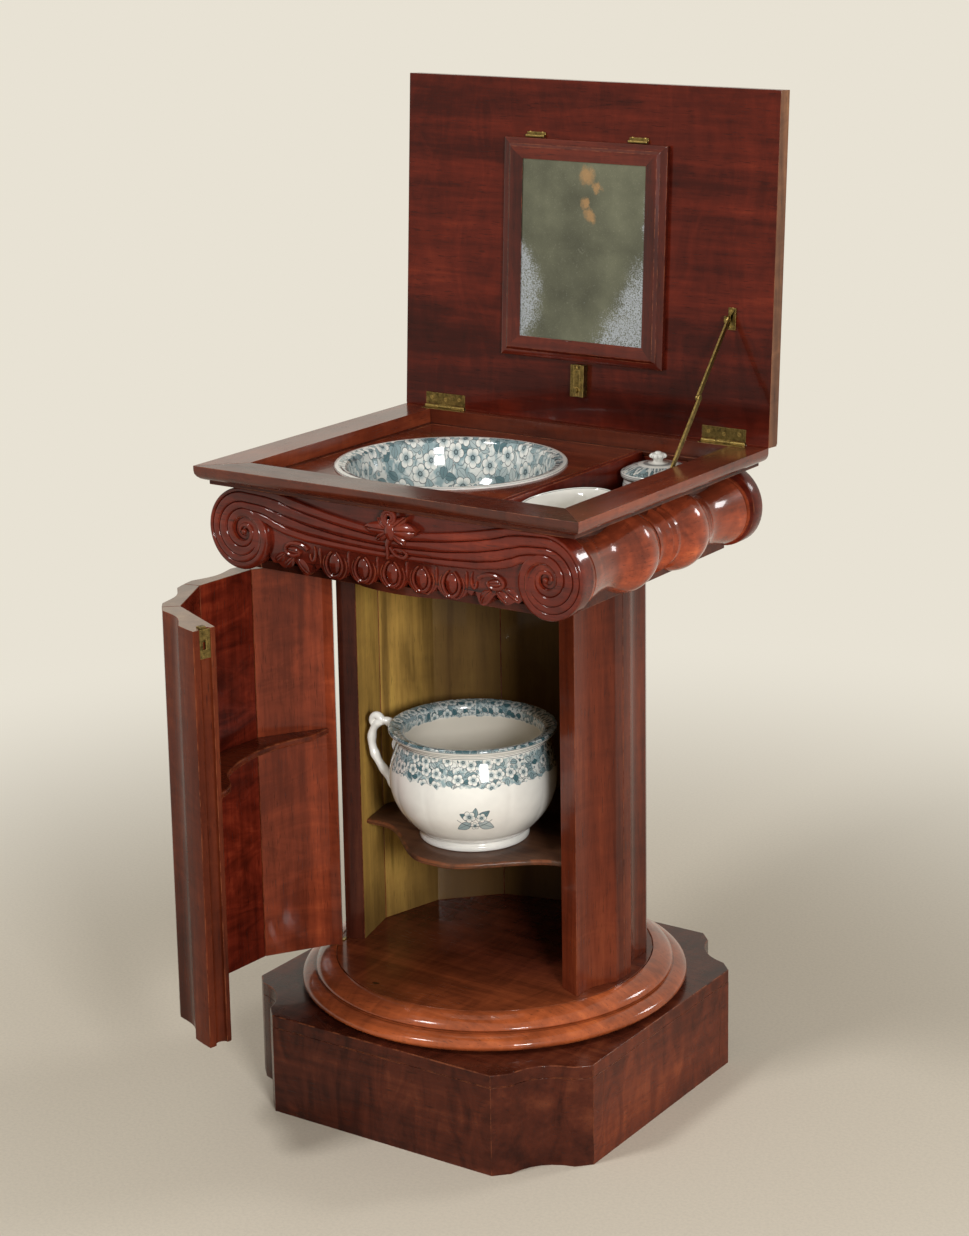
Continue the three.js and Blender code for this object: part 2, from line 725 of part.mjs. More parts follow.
// Profile shares for the basin: radius, and height from its foot
const basinOuterShares = [[0, 0], [0.42, 0], [0.44, 0.04], [0.6, 0.12], [0.76, 0.34], [0.86, 0.62], [0.9, 0.9]];
const basinInnerShares = [[0.9, 0.985], [0.865, 0.92], [0.83, 0.62], [0.73, 0.38], [0.56, 0.17], [0.3, 0.09],
  [0, 0.075]];
const basinNeckShare = 0.9;
const basinBoreRadius = basinRadius * basinNeckShare + basinHoleClearance;
const basinSides = 36;
const basinHole = rod([basinCentreX, basinCentreY, basinBoardBottom - overrun],
  [basinCentreX, basinCentreY, railBottom + overrun], basinBoreRadius / Math.cos(Math.PI / basinSides), basinSides);
add(washstand, 'basin_board', cut(
  box([-abacusInner + gap, caseFront, basinBoardBottom], [dividerPlace - gap, caseBack, railBottom]),
  basinHole), 'mahogany');

// Capital: the carved front board with its scrolls, and the plain board behind
const voluteCentreZ = abacusBottom - voluteRise;
const eggRunShare = 0.972;
const eggPitch = voluteReach * eggRunShare / eggCount;
const eggWidthShare = 0.48;
const eggWidth = eggPitch * eggWidthShare;
const voluteShares = [1, 0.944, 0.87, 0.704, 0.54, 0.44, 0.345, 0.26, 0.19, 0.14, 0.1, 0.07, 0.05];
const voluteCurve = new THREE.SplineCurve(voluteShares.map((share, i) => new THREE.Vector2(i, share)));
const voluteMeet = 2.67;
const bandMeet = -0.7;
const voluteTurns = 8;

// Radius of the scroll's outer edge after a number of quarter turns from its top
function voluteRadius(quarters) {
  return voluteRise * voluteCurve.getPoint(quarters / (voluteShares.length - 1)).y;
}

function volutePoint(quarters, radius) {
  const [x, z] = polar(radius, 90 - 90 * quarters);
  return [voluteReach + x, voluteCentreZ + z];
}

const eggBottom = caseFloor + gap;
const eggMiddle = eggBottom + eggHeight / 2;
// The hanging edge under each egg, as shares of half the pitch and of the egg's height
const scallopShares = [[0.8, 0.42], [0.5, 0.12], [0, 0], [-0.5, 0.12], [-0.8, 0.42], [-1, 0.22]];
// The hanging edge under the leaf scroll, as shares of the scrolls' reach and of the eggs' height
const leafEdgeShares = [[0.8, 0.18], [0.75, 0.36], [0.7, 0.12], [0.63, 0.02], [0.57, 0.18], [0.52, 0.34],
  [0.49, 0.2]];

function halfFriezeOutline(carved) {
  const points = [[0, abacusBottom]];
  for (let i = 0; i <= Math.round(voluteMeet * voluteQuarterSteps); i += 1) {
    const quarters = i / voluteQuarterSteps;
    points.push(volutePoint(quarters, voluteRadius(quarters)));
  }
  if (!carved) return [...points, [0, points[points.length - 1][1]]];
  points.push(...leafEdgeShares.map(([x, z]) => [x * voluteReach, eggBottom + z * eggHeight]));
  for (let i = (eggCount - 1) / 2; i >= 0; i -= 1) {
    for (const [x, z] of scallopShares) {
      const place = i * eggPitch + x * eggPitch / 2;
      if (place >= 0) points.push([place, eggBottom + z * eggHeight]);
    }
  }
  return points;
}

function wholeOutline(half) {
  const right = half.slice(1);
  const left = mirrored(right).filter(([x]) => x < 0);
  return [...right, ...left];
}

const bandCentreTop = abacusBottom - bandSag;
const bandCentreBottom = bandCentreTop - bandDepth;
const bandSteps = 6;
const bandTopPower = 1.6;
const bandBottomPower = 3.5;

function bandTop(x) {
  return bandCentreTop + bandSag * (x / bandSpring) ** bandTopPower;
}

function bandBottom(x) {
  return bandCentreBottom + bandEndRise * (x / bandEnd) ** bandBottomPower;
}

// One half of the band with its scroll: out along the top edge, in round the scroll,
// back out along the groove, and home along the lower edge
function halfBandOutline() {
  const points = [];
  for (let i = 0; i <= bandSteps; i += 1) {
    const x = bandSpring * i / bandSteps;
    points.push([x, bandTop(x)]);
  }
  const outer = voluteTurns * voluteQuarterSteps;
  for (let i = 0; i <= outer; i += 1) {
    const quarters = i / voluteQuarterSteps;
    points.push(volutePoint(quarters, voluteRadius(quarters)));
  }
  const inner = Math.round(bandMeet * voluteQuarterSteps);
  for (let i = outer; i >= inner; i -= 1) {
    const quarters = i / voluteQuarterSteps;
    const taper = 1 - 0.7 * Math.max(quarters, 0) / voluteTurns;
    points.push(volutePoint(quarters, voluteRadius(quarters + 4) + voluteGroove * taper));
  }
  for (let i = bandSteps; i >= 0; i -= 1) {
    const x = bandEnd * i / bandSteps;
    points.push([x, bandBottom(x)]);
  }
  return points;
}

const friezeGround = friezeFace + friezeRelief;
const eggSides = 10;
const eggRings = 8;
// Petals of the central flower: place and half sizes as shares of its width and height
const petalShares = [[0, 0.3, 0.2, 0.22], [-0.3, 0.04, 0.2, 0.16], [0.3, 0.02, 0.2, 0.16],
  [-0.14, -0.24, 0.15, 0.2], [0.14, -0.26, 0.15, 0.2], [0, 0, 0.16, 0.16]];

function carvedFront() {
  const ground = prismY(wholeOutline(halfFriezeOutline(true)), friezeGround, friezeInner);
  const right = halfBandOutline();
  const rightBand = prismY(right, friezeFace, friezeGround + gap);
  const leftBand = prismY(mirrored(right), friezeFace, friezeGround + gap);
  let board = join(ground, rightBand, leftBand);
  for (let i = 0; i < eggCount; i += 1) {
    const x = (i - (eggCount - 1) / 2) * eggPitch;
    board = join(board, ball([x, friezeGround, eggMiddle], [eggWidth / 2, eggRelief, eggHeight / 2],
      eggSides, eggRings));
  }
  const flowerMiddle = bandCentreTop;
  for (const [x, z, halfWidth, halfHeight] of petalShares) {
    board = join(board, ball(
      [x * flowerWidth, friezeFace + gap, flowerMiddle + z * flowerHeight],
      [halfWidth * flowerWidth, flowerRelief, halfHeight * flowerHeight], eggSides, eggRings));
  }
  return board;
}

add(washstand, 'carved_front_frieze', carvedFront(), 'mahogany');
add(washstand, 'plain_back_frieze',
  prismY(wholeOutline(halfFriezeOutline(false)), friezeBackInner, topBack), 'mahogany');

// Bolsters: split turnings. Distances from the waist are shares of the front end's
// length, radii are shares of the largest radius.
const bolsterShares = [[0, 0.82], [0.03, 0.72], [0.07, 0.69], [0.095, 0.76], [0.12, 0.76], [0.13, 0.73],
  [0.17, 0.84], [0.23, 0.95], [0.31, 1], [0.38, 0.96], [0.45, 0.86], [0.53, 0.74], [0.62, 0.7], [0.74, 0.74],
  [0.85, 0.82], [0.925, 0.87], [0.935, 0.82], [0.945, 0.88]];
const bolsterEndShare = 0.88;
const bolsterSides = 28;

function bolsterSolid(side) {
  const length = caseBack - caseFront;
  const rear = bolsterShares.filter(([along]) => along * bolsterWaist < length - bolsterWaist);
  const profile = [[0, 0], [bolsterRadius * bolsterEndShare, 0]];
  for (const [along, radius] of [...bolsterShares].reverse()) {
    profile.push([radius * bolsterRadius, bolsterWaist * (1 - along)]);
  }
  for (const [along, radius] of rear.slice(1)) {
    profile.push([radius * bolsterRadius, bolsterWaist * (1 + along)]);
  }
  profile.push([bolsterRadius * bolsterEndShare, length], [0, length]);
  const turned = turnedGeometry(profile, bolsterSides).rotateX(-Math.PI / 2);
  turned.translate(side * voluteReach, caseFront, voluteCentreZ);
  const flat = caseSideOuter + gap;
  const inside = side > 0
    ? box([-topWidth, -topWidth, 0], [flat, topWidth, topHeight])
    : box([-flat, -topWidth, 0], [topWidth, topWidth, topHeight]);
  return cut(solidOf(turned), inside);
}

add(washstand, 'bolster_left', bolsterSolid(-1), 'mahogany');
add(washstand, 'bolster_right', bolsterSolid(1), 'mahogany');

// Abacus: the thin plate between the capital and the top frame
add(washstand, 'abacus_plate', cut(
  box([-abacusHalf, abacusFront, abacusBottom], [abacusHalf, topBack, railBottom]),
  box([-abacusInner, friezeInner, abacusBottom - overrun], [abacusInner, friezeBackInner, railBottom + overrun])),
'mahogany');

// Top frame: three moulded rails, mitred at the front, and a narrow back rail
const coveSteps = 5;

// The moulded section from the outer edge inwards: distance in from the edge, and height
function railSection(width) {
  const points = [[0, topHeight], [0, topHeight - railFillet]];
  const drop = railThickness - railFillet;
  for (let i = 1; i <= coveSteps; i += 1) {
    const turn = (i / coveSteps) * (Math.PI / 2);
    points.push([railCoveInset * (1 - Math.cos(turn)), topHeight - railFillet - drop * Math.sin(turn)]);
  }
  points.push([width, railBottom], [width, topHeight]);
  return points;
}

const leafStart = hingePlace;
const leafEnd = hingePlace + hingeLength;
const knuckleRoom = knuckleRadius + 2 * gap;
const knuckleSides = 12;

// The recess for one hinge: leaf and barrel, in the fixed frame's back edge
function fixedHingeRoom(side) {
  const from = Math.min(side * (leafStart - gap), side * (leafEnd + gap));
  const to = Math.max(side * (leafStart - gap), side * (leafEnd + gap));
  return join(
    box([from, lidAxisY - hingeFixedLeafWidth - gap, topHeight - hingeLeafThickness - gap],
      [to, lidAxisY + overrun, topHeight + overrun]),
    rod([from, lidAxisY, lidAxisZ], [to, lidAxisY, lidAxisZ], knuckleRoom, knuckleSides));
}

const railAlongX = prismX(railSection(railWidth).map(([inset, z]) => [topFront + inset, z]), -topHalf, topHalf);
const frontPlan = prismZ([[-topHalf, topFront], [topHalf, topFront], [railInner, frontRailInner],
  [-railInner, frontRailInner]], railBottom - overrun, topHeight + overrun);
add(washstand, 'top_front_rail', railAlongX.intersect(frontPlan), 'mahogany');

function sideRail(side) {
  const section = railSection(railWidth).map(([inset, z]) => [topHalf - inset, z]);
  const along = prismY(side > 0 ? section : mirrored(section), topFront, topBack);
  const plan = [[topHalf + overrun, topFront - overrun + seam], [topHalf + overrun, topBack + overrun],
    [railInner - overrun, topBack + overrun], [railInner - overrun, frontRailInner + overrun + seam]];
  const zone = prismZ(side > 0 ? plan : mirrored(plan), railBottom - overrun, topHeight + overrun);
  return cut(along.intersect(zone), fixedHingeRoom(side));
}

add(washstand, 'top_left_rail', sideRail(-1), 'mahogany');
add(washstand, 'top_right_rail', sideRail(1), 'mahogany');
add(washstand, 'top_back_rail', cut(
  box([-railInner, backRailInner, railBottom], [railInner, topBack, topHeight]),
  fixedHingeRoom(-1), fixedHingeRoom(1)), 'mahogany');

// Lid hinges: the fixed leaf carries two knuckles and the pin, the lid's leaf the middle one
const knuckleShare = 1 / 3;
const knuckleLength = hingeLength * knuckleShare;
const barrel = (from, to, radius) => rod([from, lidAxisY, lidAxisZ], [to, lidAxisY, lidAxisZ], radius, knuckleSides);
const middleFrom = leafStart + knuckleLength;
const middleTo = leafEnd - knuckleLength;

function fixedLeaf(side) {
  const clear = gap;
  const plate = box([leafStart, lidAxisY - hingeFixedLeafWidth, topHeight - hingeLeafThickness],
    [leafEnd, lidAxisY, topHeight]);
  const room = barrel(middleFrom - clear, middleTo + clear, knuckleRoom);
  const leaf = join(
    cut(plate, room),
    barrel(leafStart, middleFrom - clear, knuckleRadius),
    barrel(middleTo + clear, leafEnd, knuckleRadius),
    barrel(leafStart + clear, leafEnd - clear, hingePinRadius));
  return side > 0 ? leaf : leaf.mirror([1, 0, 0]);
}

function lidLeaf(side) {
  const plate = box([leafStart, lidAxisY - hingeLeafWidth, lidAxisZ],
    [leafEnd, lidAxisY - lidHingeSetback, lidAxisZ + hingeLeafThickness]);
  const arm = box([middleFrom + gap, lidAxisY - knuckleRadius - lidHingeSetback, lidAxisZ],
    [middleTo - gap, lidAxisY, lidAxisZ + hingeLeafThickness]);
  const solid = cut(
    join(cut(plate, barrel(leafStart - overrun, middleFrom + gap, knuckleRoom),
      barrel(middleTo - gap, leafEnd + overrun, knuckleRoom)),
    arm, barrel(middleFrom + gap, middleTo - gap, knuckleRadius)),
    barrel(middleFrom - overrun, middleTo + overrun, hingeBoreRadius));
  return side > 0 ? solid : solid.mirror([1, 0, 0]);
}

add(washstand, 'lid_hinge_fixed_leaf_left', fixedLeaf(-1), 'brass');
add(washstand, 'lid_hinge_fixed_leaf_right', fixedLeaf(1), 'brass');

// Lid: modelled closed and swung open about the hinge pins. Places on its inner face are
// measured up from the hinge line, and out of the face.
const lid = swungGroup([0, lidAxisY, lidAxisZ], [1, 0, 0], -lidOpening);

function lidBox(left, right, start, end, low, high) {
  return box([left, lidAxisY - end, lidAxisZ - high], [right, lidAxisY - start, lidAxisZ - low]);
}

function lidHingeRoom(side) {
  const from = Math.min(side * (leafStart - gap), side * (leafEnd + gap));
  const to = Math.max(side * (leafStart - gap), side * (leafEnd + gap));
  return join(
    lidBox(from, to, -overrun, hingeLeafWidth + gap, -hingeLeafThickness - gap, overrun),
    barrel(from, to, knuckleRoom));
}

add(lid, 'lid_panel', cut(
  lidBox(-topHalf, topHalf, lidHingeSetback, topDepth, -lidThickness, 0),
  lidHingeRoom(-1), lidHingeRoom(1)), 'mahogany');
add(lid, 'lid_hinge_lid_leaf_left', lidLeaf(-1), 'brass');
add(lid, 'lid_hinge_lid_leaf_right', lidLeaf(1), 'brass');

// Looking glass: a moulded frame, the silvered glass and its backboard
const mirrorLeft = mirrorShift - mirrorWidth / 2;
const mirrorRight = mirrorShift + mirrorWidth / 2;
const mirrorEnd = mirrorStart + mirrorHeight;
const glassFaceShare = 0.62;
const glassLap = 4;
const glassFront = mirrorThickness * glassFaceShare;
const glassBack = glassFront - glassThickness;
// The frame's moulding: shares of the member's width, and of the frame's thickness
const mirrorShares = [[0, 0.52], [0.07, 0.62], [0.3, 0.7], [0.42, 0.95], [0.6, 1], [0.8, 0.86], [1, 0.72],
  [1, 0.64]];

function mirrorFrameSolid() {
  const rebate = [1 - glassLap / mirrorStile, 1 - glassLap / mirrorRail];
  const loops = [[[0, 0], gap], ...mirrorShares.map(([share, height]) => [[share, share], height * mirrorThickness]),
    [rebate, mirrorShares[mirrorShares.length - 1][1] * mirrorThickness], [rebate, gap]];
  const places = [];
  for (const [[across, up], height] of loops) {
    const x = mirrorStile * across;
    const u = mirrorRail * up;
    const corners = [[mirrorLeft + x, mirrorStart + u], [mirrorRight - x, mirrorStart + u],
      [mirrorRight - x, mirrorEnd - u], [mirrorLeft + x, mirrorEnd - u]];
    for (const [cx, cu] of corners) places.push(cx, lidAxisY - cu, lidAxisZ - height);
  }
  const index = [];
  const sides = 4;
  for (let i = 0; i < loops.length; i += 1) {
    const next = (i + 1) % loops.length;
    for (let k = 0; k < sides; k += 1) {
      const turn = (k + 1) % sides;
      const quad = [i * sides + k, i * sides + turn, next * sides + turn, next * sides + k];
      index.push(quad[0], quad[1], quad[2], quad[0], quad[2], quad[3]);
    }
  }
  const geometry = new THREE.BufferGeometry();
  geometry.setAttribute('position', new THREE.Float32BufferAttribute(places, 3));
  geometry.setIndex(index);
  return solidOf(geometry);
}

add(lid, 'mirror_frame', mirrorFrameSolid(), 'mahogany');

function glassSheet(low, high) {
  const across = mirrorStile - glassLap + gap;
  const up = mirrorRail - glassLap + gap;
  return lidBox(mirrorLeft + across, mirrorRight - across, mirrorStart + up, mirrorEnd - up, low, high);
}

const mirrorBackHigh = glassBack - gap;
add(lid, 'mirror_glass', glassSheet(glassBack, glassFront - gap), 'glass');
add(lid, 'mirror_backboard', glassSheet(mirrorBackHigh - mirrorBackThickness, mirrorBackHigh), 'deal');

const mirrorPivotPlace = mirrorEnd + mirrorPivotGap;

function mirrorHinge(centre) {
  const from = centre - mirrorHingeLength / 2;
  const to = centre + mirrorHingeLength / 2;
  const y = lidAxisY - mirrorPivotPlace;
  const z = lidAxisZ - mirrorPivotHeight;
  return join(
    lidBox(from, to, mirrorPivotPlace, mirrorPivotPlace + mirrorLeafWidth, gap, gap + plateThickness),
    lidBox(from, to, mirrorPivotPlace, mirrorPivotPlace + plateThickness, gap, mirrorPivotHeight),
    rod([from, y, z], [to, y, z], mirrorKnuckleRadius, knuckleSides));
}

add(lid, 'mirror_hinge_left', mirrorHinge(mirrorShift - mirrorHingeReach), 'brass');
add(lid, 'mirror_hinge_right', mirrorHinge(mirrorShift + mirrorHingeReach), 'brass');

const catchLeft = -mirrorCatchWidth / 2;
const catchRight = mirrorCatchWidth / 2;
const tongueBottom = mirrorShares[0][1] * mirrorThickness + 5 * gap;
const tongueTop = tongueBottom + mirrorBoltThickness;
const guideReach = mirrorStart - gap - mirrorCatchStart;
const boltEnd = mirrorCatchStart + mirrorBoltLength;
const guideWall = (mirrorCatchWidth - mirrorBoltWidth) / 2 - gap;
add(lid, 'mirror_catch_plate', join(
  lidBox(catchLeft, catchRight, mirrorCatchStart, mirrorCatchStart + Math.min(mirrorCatchLength, guideReach),
    gap, tongueBottom - gap),
  lidBox(catchLeft, catchLeft + guideWall, mirrorCatchStart, mirrorCatchStart + mirrorCatchLength,
    gap, tongueTop),
  lidBox(catchRight - guideWall, catchRight, mirrorCatchStart, mirrorCatchStart + mirrorCatchLength,
    gap, tongueTop)), 'brass');
const knobPlace = mirrorCatchStart + mirrorKnobRadius * 2.5;
add(lid, 'mirror_catch_bolt', join(
  lidBox(-mirrorBoltWidth / 2, mirrorBoltWidth / 2, mirrorCatchStart + gap, boltEnd, tongueBottom, tongueTop),
  rod([0, lidAxisY - knobPlace, lidAxisZ - tongueBottom - gap],
    [0, lidAxisY - knobPlace, lidAxisZ - tongueTop - mirrorKnobHeight], mirrorKnobRadius, knuckleSides)), 'brass');

// Folding stay: a bracket on the lid, two flat arms and a bracket on the right rail
function lidPoint(start, height) {
  const turn = lidOpening * degrees;
  return [
    lidAxisY - start * Math.cos(turn) - height * Math.sin(turn),
    lidAxisZ + start * Math.sin(turn) - height * Math.cos(turn),
  ];
}

const stayTop = lidPoint(stayLidPlace, stayLidHeight);
const stayFoot = [stayRailPivot, topHeight - stayRailDrop];
const stayClosedTop = [lidAxisY - stayLidPlace, lidAxisZ - stayLidHeight];
const openSpan = Math.hypot(stayTop[0] - stayFoot[0], stayTop[1] - stayFoot[1]);
const closedSpan = Math.hypot(stayClosedTop[0] - stayFoot[0], stayClosedTop[1] - stayFoot[1]);
const upperArmLength = (openSpan + closedSpan) / 2;
const lowerArmLength = (openSpan - closedSpan) / 2;
const stayAngle = Math.atan2(stayTop[1] - stayFoot[1], stayTop[0] - stayFoot[0]) / degrees;
const armSides = 12;

// A flat arm with round ends, lying along +Y from its pivot at the origin, with a bore there
function armSolid(place, length) {
  const radius = stayWidth / 2;
  const high = place + stayThickness;
  const half = radius * 0.8;
  return cut(join(
    box([place, 0, -half], [high, length, half]),
    rod([place, 0, 0], [high, 0, 0], radius, armSides),
    rod([place, length, 0], [high, length, 0], radius, armSides)),
  rod([place - overrun, 0, 0], [high + overrun, 0, 0], stayPinRadius + 2 * gap, armSides));
}

function addArm(name, place, length, pivot, angle) {
  const group = new THREE.Group();
  group.position.set(0, ...pivot);
  group.rotation.x = angle * degrees;
  washstand.add(group);
  add(group, name, armSolid(place, length), 'brass');
}

addArm('stay_upper_arm', stayUpperPlace, upperArmLength, stayTop, halfTurn + stayAngle);
addArm('stay_lower_arm', stayLowerPlace, lowerArmLength, stayFoot, stayAngle);

const bracketHalf = stayBracketLength / 2;
const lugHalf = stayWidth / 2;
const lugTop = stayLidHeight + lugHalf;
add(lid, 'stay_lid_bracket', join(
  lidBox(stayLidLug - gap, stayLidLug + stayBracketWidth - stayWidth / 2, stayLidPlace - bracketHalf,
    stayLidPlace + bracketHalf, gap, gap + plateThickness),
  lidBox(stayLidLug, stayUpperPlace - gap, stayLidPlace - lugHalf, stayLidPlace + lugHalf, gap, lugTop),
  rod([stayLidLug, lidAxisY - stayLidPlace, lidAxisZ - stayLidHeight],
    [stayUpperPlace + stayThickness - gap, lidAxisY - stayLidPlace, lidAxisZ - stayLidHeight],
    stayPinRadius, armSides)), 'brass');

const railPlateInner = railInner - gap - plateThickness;
add(washstand, 'stay_rail_bracket', join(
  box([railPlateInner, stayRailPivot - bracketHalf, stayFoot[1] - stayWidth / 2],
    [railInner - gap, stayRailPivot + bracketHalf, topHeight - gap]),
  rod([stayLowerPlace + gap, ...stayFoot], [railInner - gap, ...stayFoot], stayPinRadius, armSides),
  rod([stayRailPlace, ...stayFoot], [railInner - gap, ...stayFoot], lugHalf, armSides)), 'brass');

// Crockery
const basinFoot = railBottom + basinRimThickness - basinDepth;
const basinProfile = [
  ...sized(basinOuterShares, basinRadius, basinDepth, basinFoot),
  [basinRadius * basinNeckShare, railBottom],
  [basinRadius, railBottom],
  [basinRadius, railBottom + basinRimThickness],
  ...sized(basinInnerShares, basinRadius, basinDepth, basinFoot),
];
add(washstand, 'wash_basin',
  solidOf(turnedGeometry(basinProfile, basinSides).translate(basinCentreX, basinCentreY, 0)), 'ceramic');

const jarShares = [[0, 0], [0.8, 0], [0.88, 0.06], [0.96, 0.35], [0.97, 0.7], [0.95, 1], [0.83, 1], [0.86, 0.7],
  [0.85, 0.35], [0.7, 0.11], [0, 0.09]];
const jarLidShares = [[0, 0.08], [0.78, 0], [1, 0], [1, 0.2], [0.9, 0.26], [0.7, 0.4], [0.4, 0.49], [0.16, 0.53],
  [0.13, 0.62], [0.22, 0.78], [0.2, 0.9], [0.1, 0.98], [0, 1]];
const jarSides = 24;
const jarLidFoot = compartmentFloorTop + jarHeight + gap;
add(washstand, 'jar_body', solidOf(turnedGeometry(
  sized(jarShares, jarRadius, jarHeight, compartmentFloorTop), jarSides)
  .translate(jarCentreX, jarCentreY, 0)), 'ceramic');
add(washstand, 'jar_lid', solidOf(turnedGeometry(
  sized(jarLidShares, jarRadius, jarLidHeight, jarLidFoot), jarSides)
  .translate(jarCentreX, jarCentreY, 0)), 'ceramic');

const dishShares = [[0, 0], [0.6, 0], [0.66, 0.05], [0.82, 0.3], [0.93, 0.7], [1, 0.95], [0.98, 1], [0.93, 0.98],
  [0.87, 0.75], [0.76, 0.35], [0.6, 0.16], [0, 0.11]];
add(washstand, 'soap_dish', solidOf(turnedGeometry(sized(dishShares, 1, dishHeight), jarSides)
  .scale(dishWidth / 2, dishLength / 2, 1)
  .translate(dishCentreX, dishCentreY, compartmentFloorTop)), 'ceramic');

const potShares = [[0, 0], [0.62, 0], [0.655, 0.02], [0.64, 0.06], [0.76, 0.14], [0.9, 0.27], [0.985, 0.42],
  [1, 0.54], [0.985, 0.68], [0.945, 0.8], [0.93, 0.87], [0.935, 0.935], [0.99, 0.962], [1, 0.985], [0.98, 1],
  [0.9, 0.985], [0.875, 0.9], [0.89, 0.8], [0.935, 0.66], [0.945, 0.52], [0.92, 0.4], [0.83, 0.26], [0.7, 0.15],
  [0.5, 0.085], [0, 0.075]];
const potSides = 28;
// The handle's line: shares of its reach from the pot's axis, and of the pot's height
const handleShares = [[0.69, 0.84], [0.77, 0.91], [0.87, 0.925], [0.945, 0.85], [0.955, 0.72], [0.9, 0.58],
  [0.82, 0.46], [0.755, 0.38], [0.72, 0.34]];
const handleSteps = 14;
const handleSides = 8;

function potHandle() {
  const path = new THREE.CatmullRomCurve3(handleShares.map(([r, z]) => {
    const [x, y] = polar(r * potHandleReach, potHandleAngle);
    return new THREE.Vector3(x, y, z * potHeight);
  }));
  const section = new THREE.Shape();
  for (let i = 0; i < handleSides; i += 1) {
    const [x, y] = polar(potHandleRadius, fullTurn * i / handleSides);
    if (i === 0) section.moveTo(x, y);
    else section.lineTo(x, y);
  }
  return solidOf(new THREE.ExtrudeGeometry(section, { steps: handleSteps, extrudePath: path }));
}

const potSolid = join(solidOf(turnedGeometry(sized(potShares, potRimRadius, potHeight), potSides)), potHandle());
add(washstand, 'chamber_pot', potSolid.translate([potCentreX, potCentreY, shelfTop]), 'ceramic');

export default washstand;
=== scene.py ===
"""The looks of the pedestal washstand, built as an add-on's operators round its fixed frame.

Metres, +Z up. The carved front faces -Y and the jar's compartment is on the +X side.
"""

import json
import math
from functools import reduce

import bmesh
import bpy
from mathutils import Matrix, Vector


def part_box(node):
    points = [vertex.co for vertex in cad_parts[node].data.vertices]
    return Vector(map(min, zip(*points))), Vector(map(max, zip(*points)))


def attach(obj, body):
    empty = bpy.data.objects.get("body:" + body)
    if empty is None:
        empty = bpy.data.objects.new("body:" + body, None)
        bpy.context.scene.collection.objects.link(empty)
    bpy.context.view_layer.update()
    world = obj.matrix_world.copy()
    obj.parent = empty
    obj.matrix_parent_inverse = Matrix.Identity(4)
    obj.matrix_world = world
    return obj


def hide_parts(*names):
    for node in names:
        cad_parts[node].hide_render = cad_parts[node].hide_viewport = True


bl_info = {
    "name": "Pedestal washstand",
    "version": (1, 0, 0),
    "blender": (4, 5, 0),
    "location": "View3D > Sidebar > Washstand",
    "description": "Dresses a fluted pedestal washstand: polished mahogany, old brass and glazed crockery",
    "category": "Add Mesh",
}

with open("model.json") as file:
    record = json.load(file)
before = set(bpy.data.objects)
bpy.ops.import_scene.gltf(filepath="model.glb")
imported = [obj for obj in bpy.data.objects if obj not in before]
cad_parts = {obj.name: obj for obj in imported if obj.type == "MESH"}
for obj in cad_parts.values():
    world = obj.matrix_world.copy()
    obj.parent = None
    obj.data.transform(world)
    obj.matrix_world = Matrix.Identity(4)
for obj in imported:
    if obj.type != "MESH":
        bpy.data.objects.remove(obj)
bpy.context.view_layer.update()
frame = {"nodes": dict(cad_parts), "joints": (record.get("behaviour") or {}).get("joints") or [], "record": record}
JOINTS = {joint["name"]: joint for joint in frame["joints"]}
BODY_OF = {node: body for body, nodes in frame["record"]["behaviour"]["bodies"].items() for node in nodes}
SLOT_OF = {row["node"]: row["material_slot"] for row in frame["record"]["subparts"]}

# The camera at the photograph's viewing angle
VIEW_AZIMUTH = 32.21
VIEW_ELEVATION = 13.351
VIEW_ROLL = -0.374
VIEW_TARGET = (0.1551, 0, 0.7717)
VIEW_DISTANCE = 3.1535
VIEW_LENS = 78.586
VIEW_SHIFT = (-0.0909, -0.1068)

# Small sizes that many pieces share
WELD = 1e-5
EASE_SEGMENTS = 2
CORNER_ANGLE = 28
SHARP_ANGLE = 35
FLAT_ANGLE = 1
BOARD_SOFTNESS = 0.001
PROFILE_STEPS = 4

# How far a face looks along a direction, as a cosine, to count as facing it
FACING = 0.9
SQUARE_ON = 0.99


def degrees(angle):
    """Radians of an angle in degrees."""
    return math.radians(angle)


def polar(radius, angle):
    """x and y of a point at a radius and an angle in degrees."""
    return radius * math.cos(degrees(angle)), radius * math.sin(degrees(angle))


def srgb(red, green, blue):
    """A linear colour from the 0 to 255 values that a screen shows."""
    linear = [((c / 255 + 0.055) / 1.055) ** 2.4 if c > 10 else c / 3294.6 for c in (red, green, blue)]
    return (*linear, 1.0)


def ease(t):
    """A share from 0 to 1 that starts and ends gently."""
    t = min(1.0, max(0.0, t))
    return t * t * (3 - 2 * t)


def through(points, steps=6):
    """A smooth line through points, with some steps to each span."""
    last = len(points) - 1
    line = []
    for i in range(last):
        spans = zip(points[max(i - 1, 0)], points[i], points[i + 1], points[min(i + 2, last)])
        quads = list(spans)
        for k in range(steps):
            t = k / steps
            line.append(tuple(
                b + ((c - a) * t + (2 * a - 5 * b + 4 * c - d) * t**2 + (3 * b - a - 3 * c + d) * t**3) / 2
                for a, b, c, d in quads))
    return [*line, tuple(points[last])]


def at_share(line, share):
    """The point at a share of a line's points."""
    place = min(max(share, 0.0), 1.0) * (len(line) - 1)
    i = min(int(place), len(line) - 2)
    t = place - i
    return tuple(a + (b - a) * t for a, b in zip(line[i], line[i + 1]))


# Sizes and colours that a user would change


def a_length(label, description, default):
    return bpy.props.FloatProperty(name=label, description=description, default=default, min=0, precision=4,
                                   unit="LENGTH", subtype="DISTANCE")


def a_share(label, description, default):
    return bpy.props.FloatProperty(name=label, description=description, default=default, min=0,
                                   subtype="FACTOR")


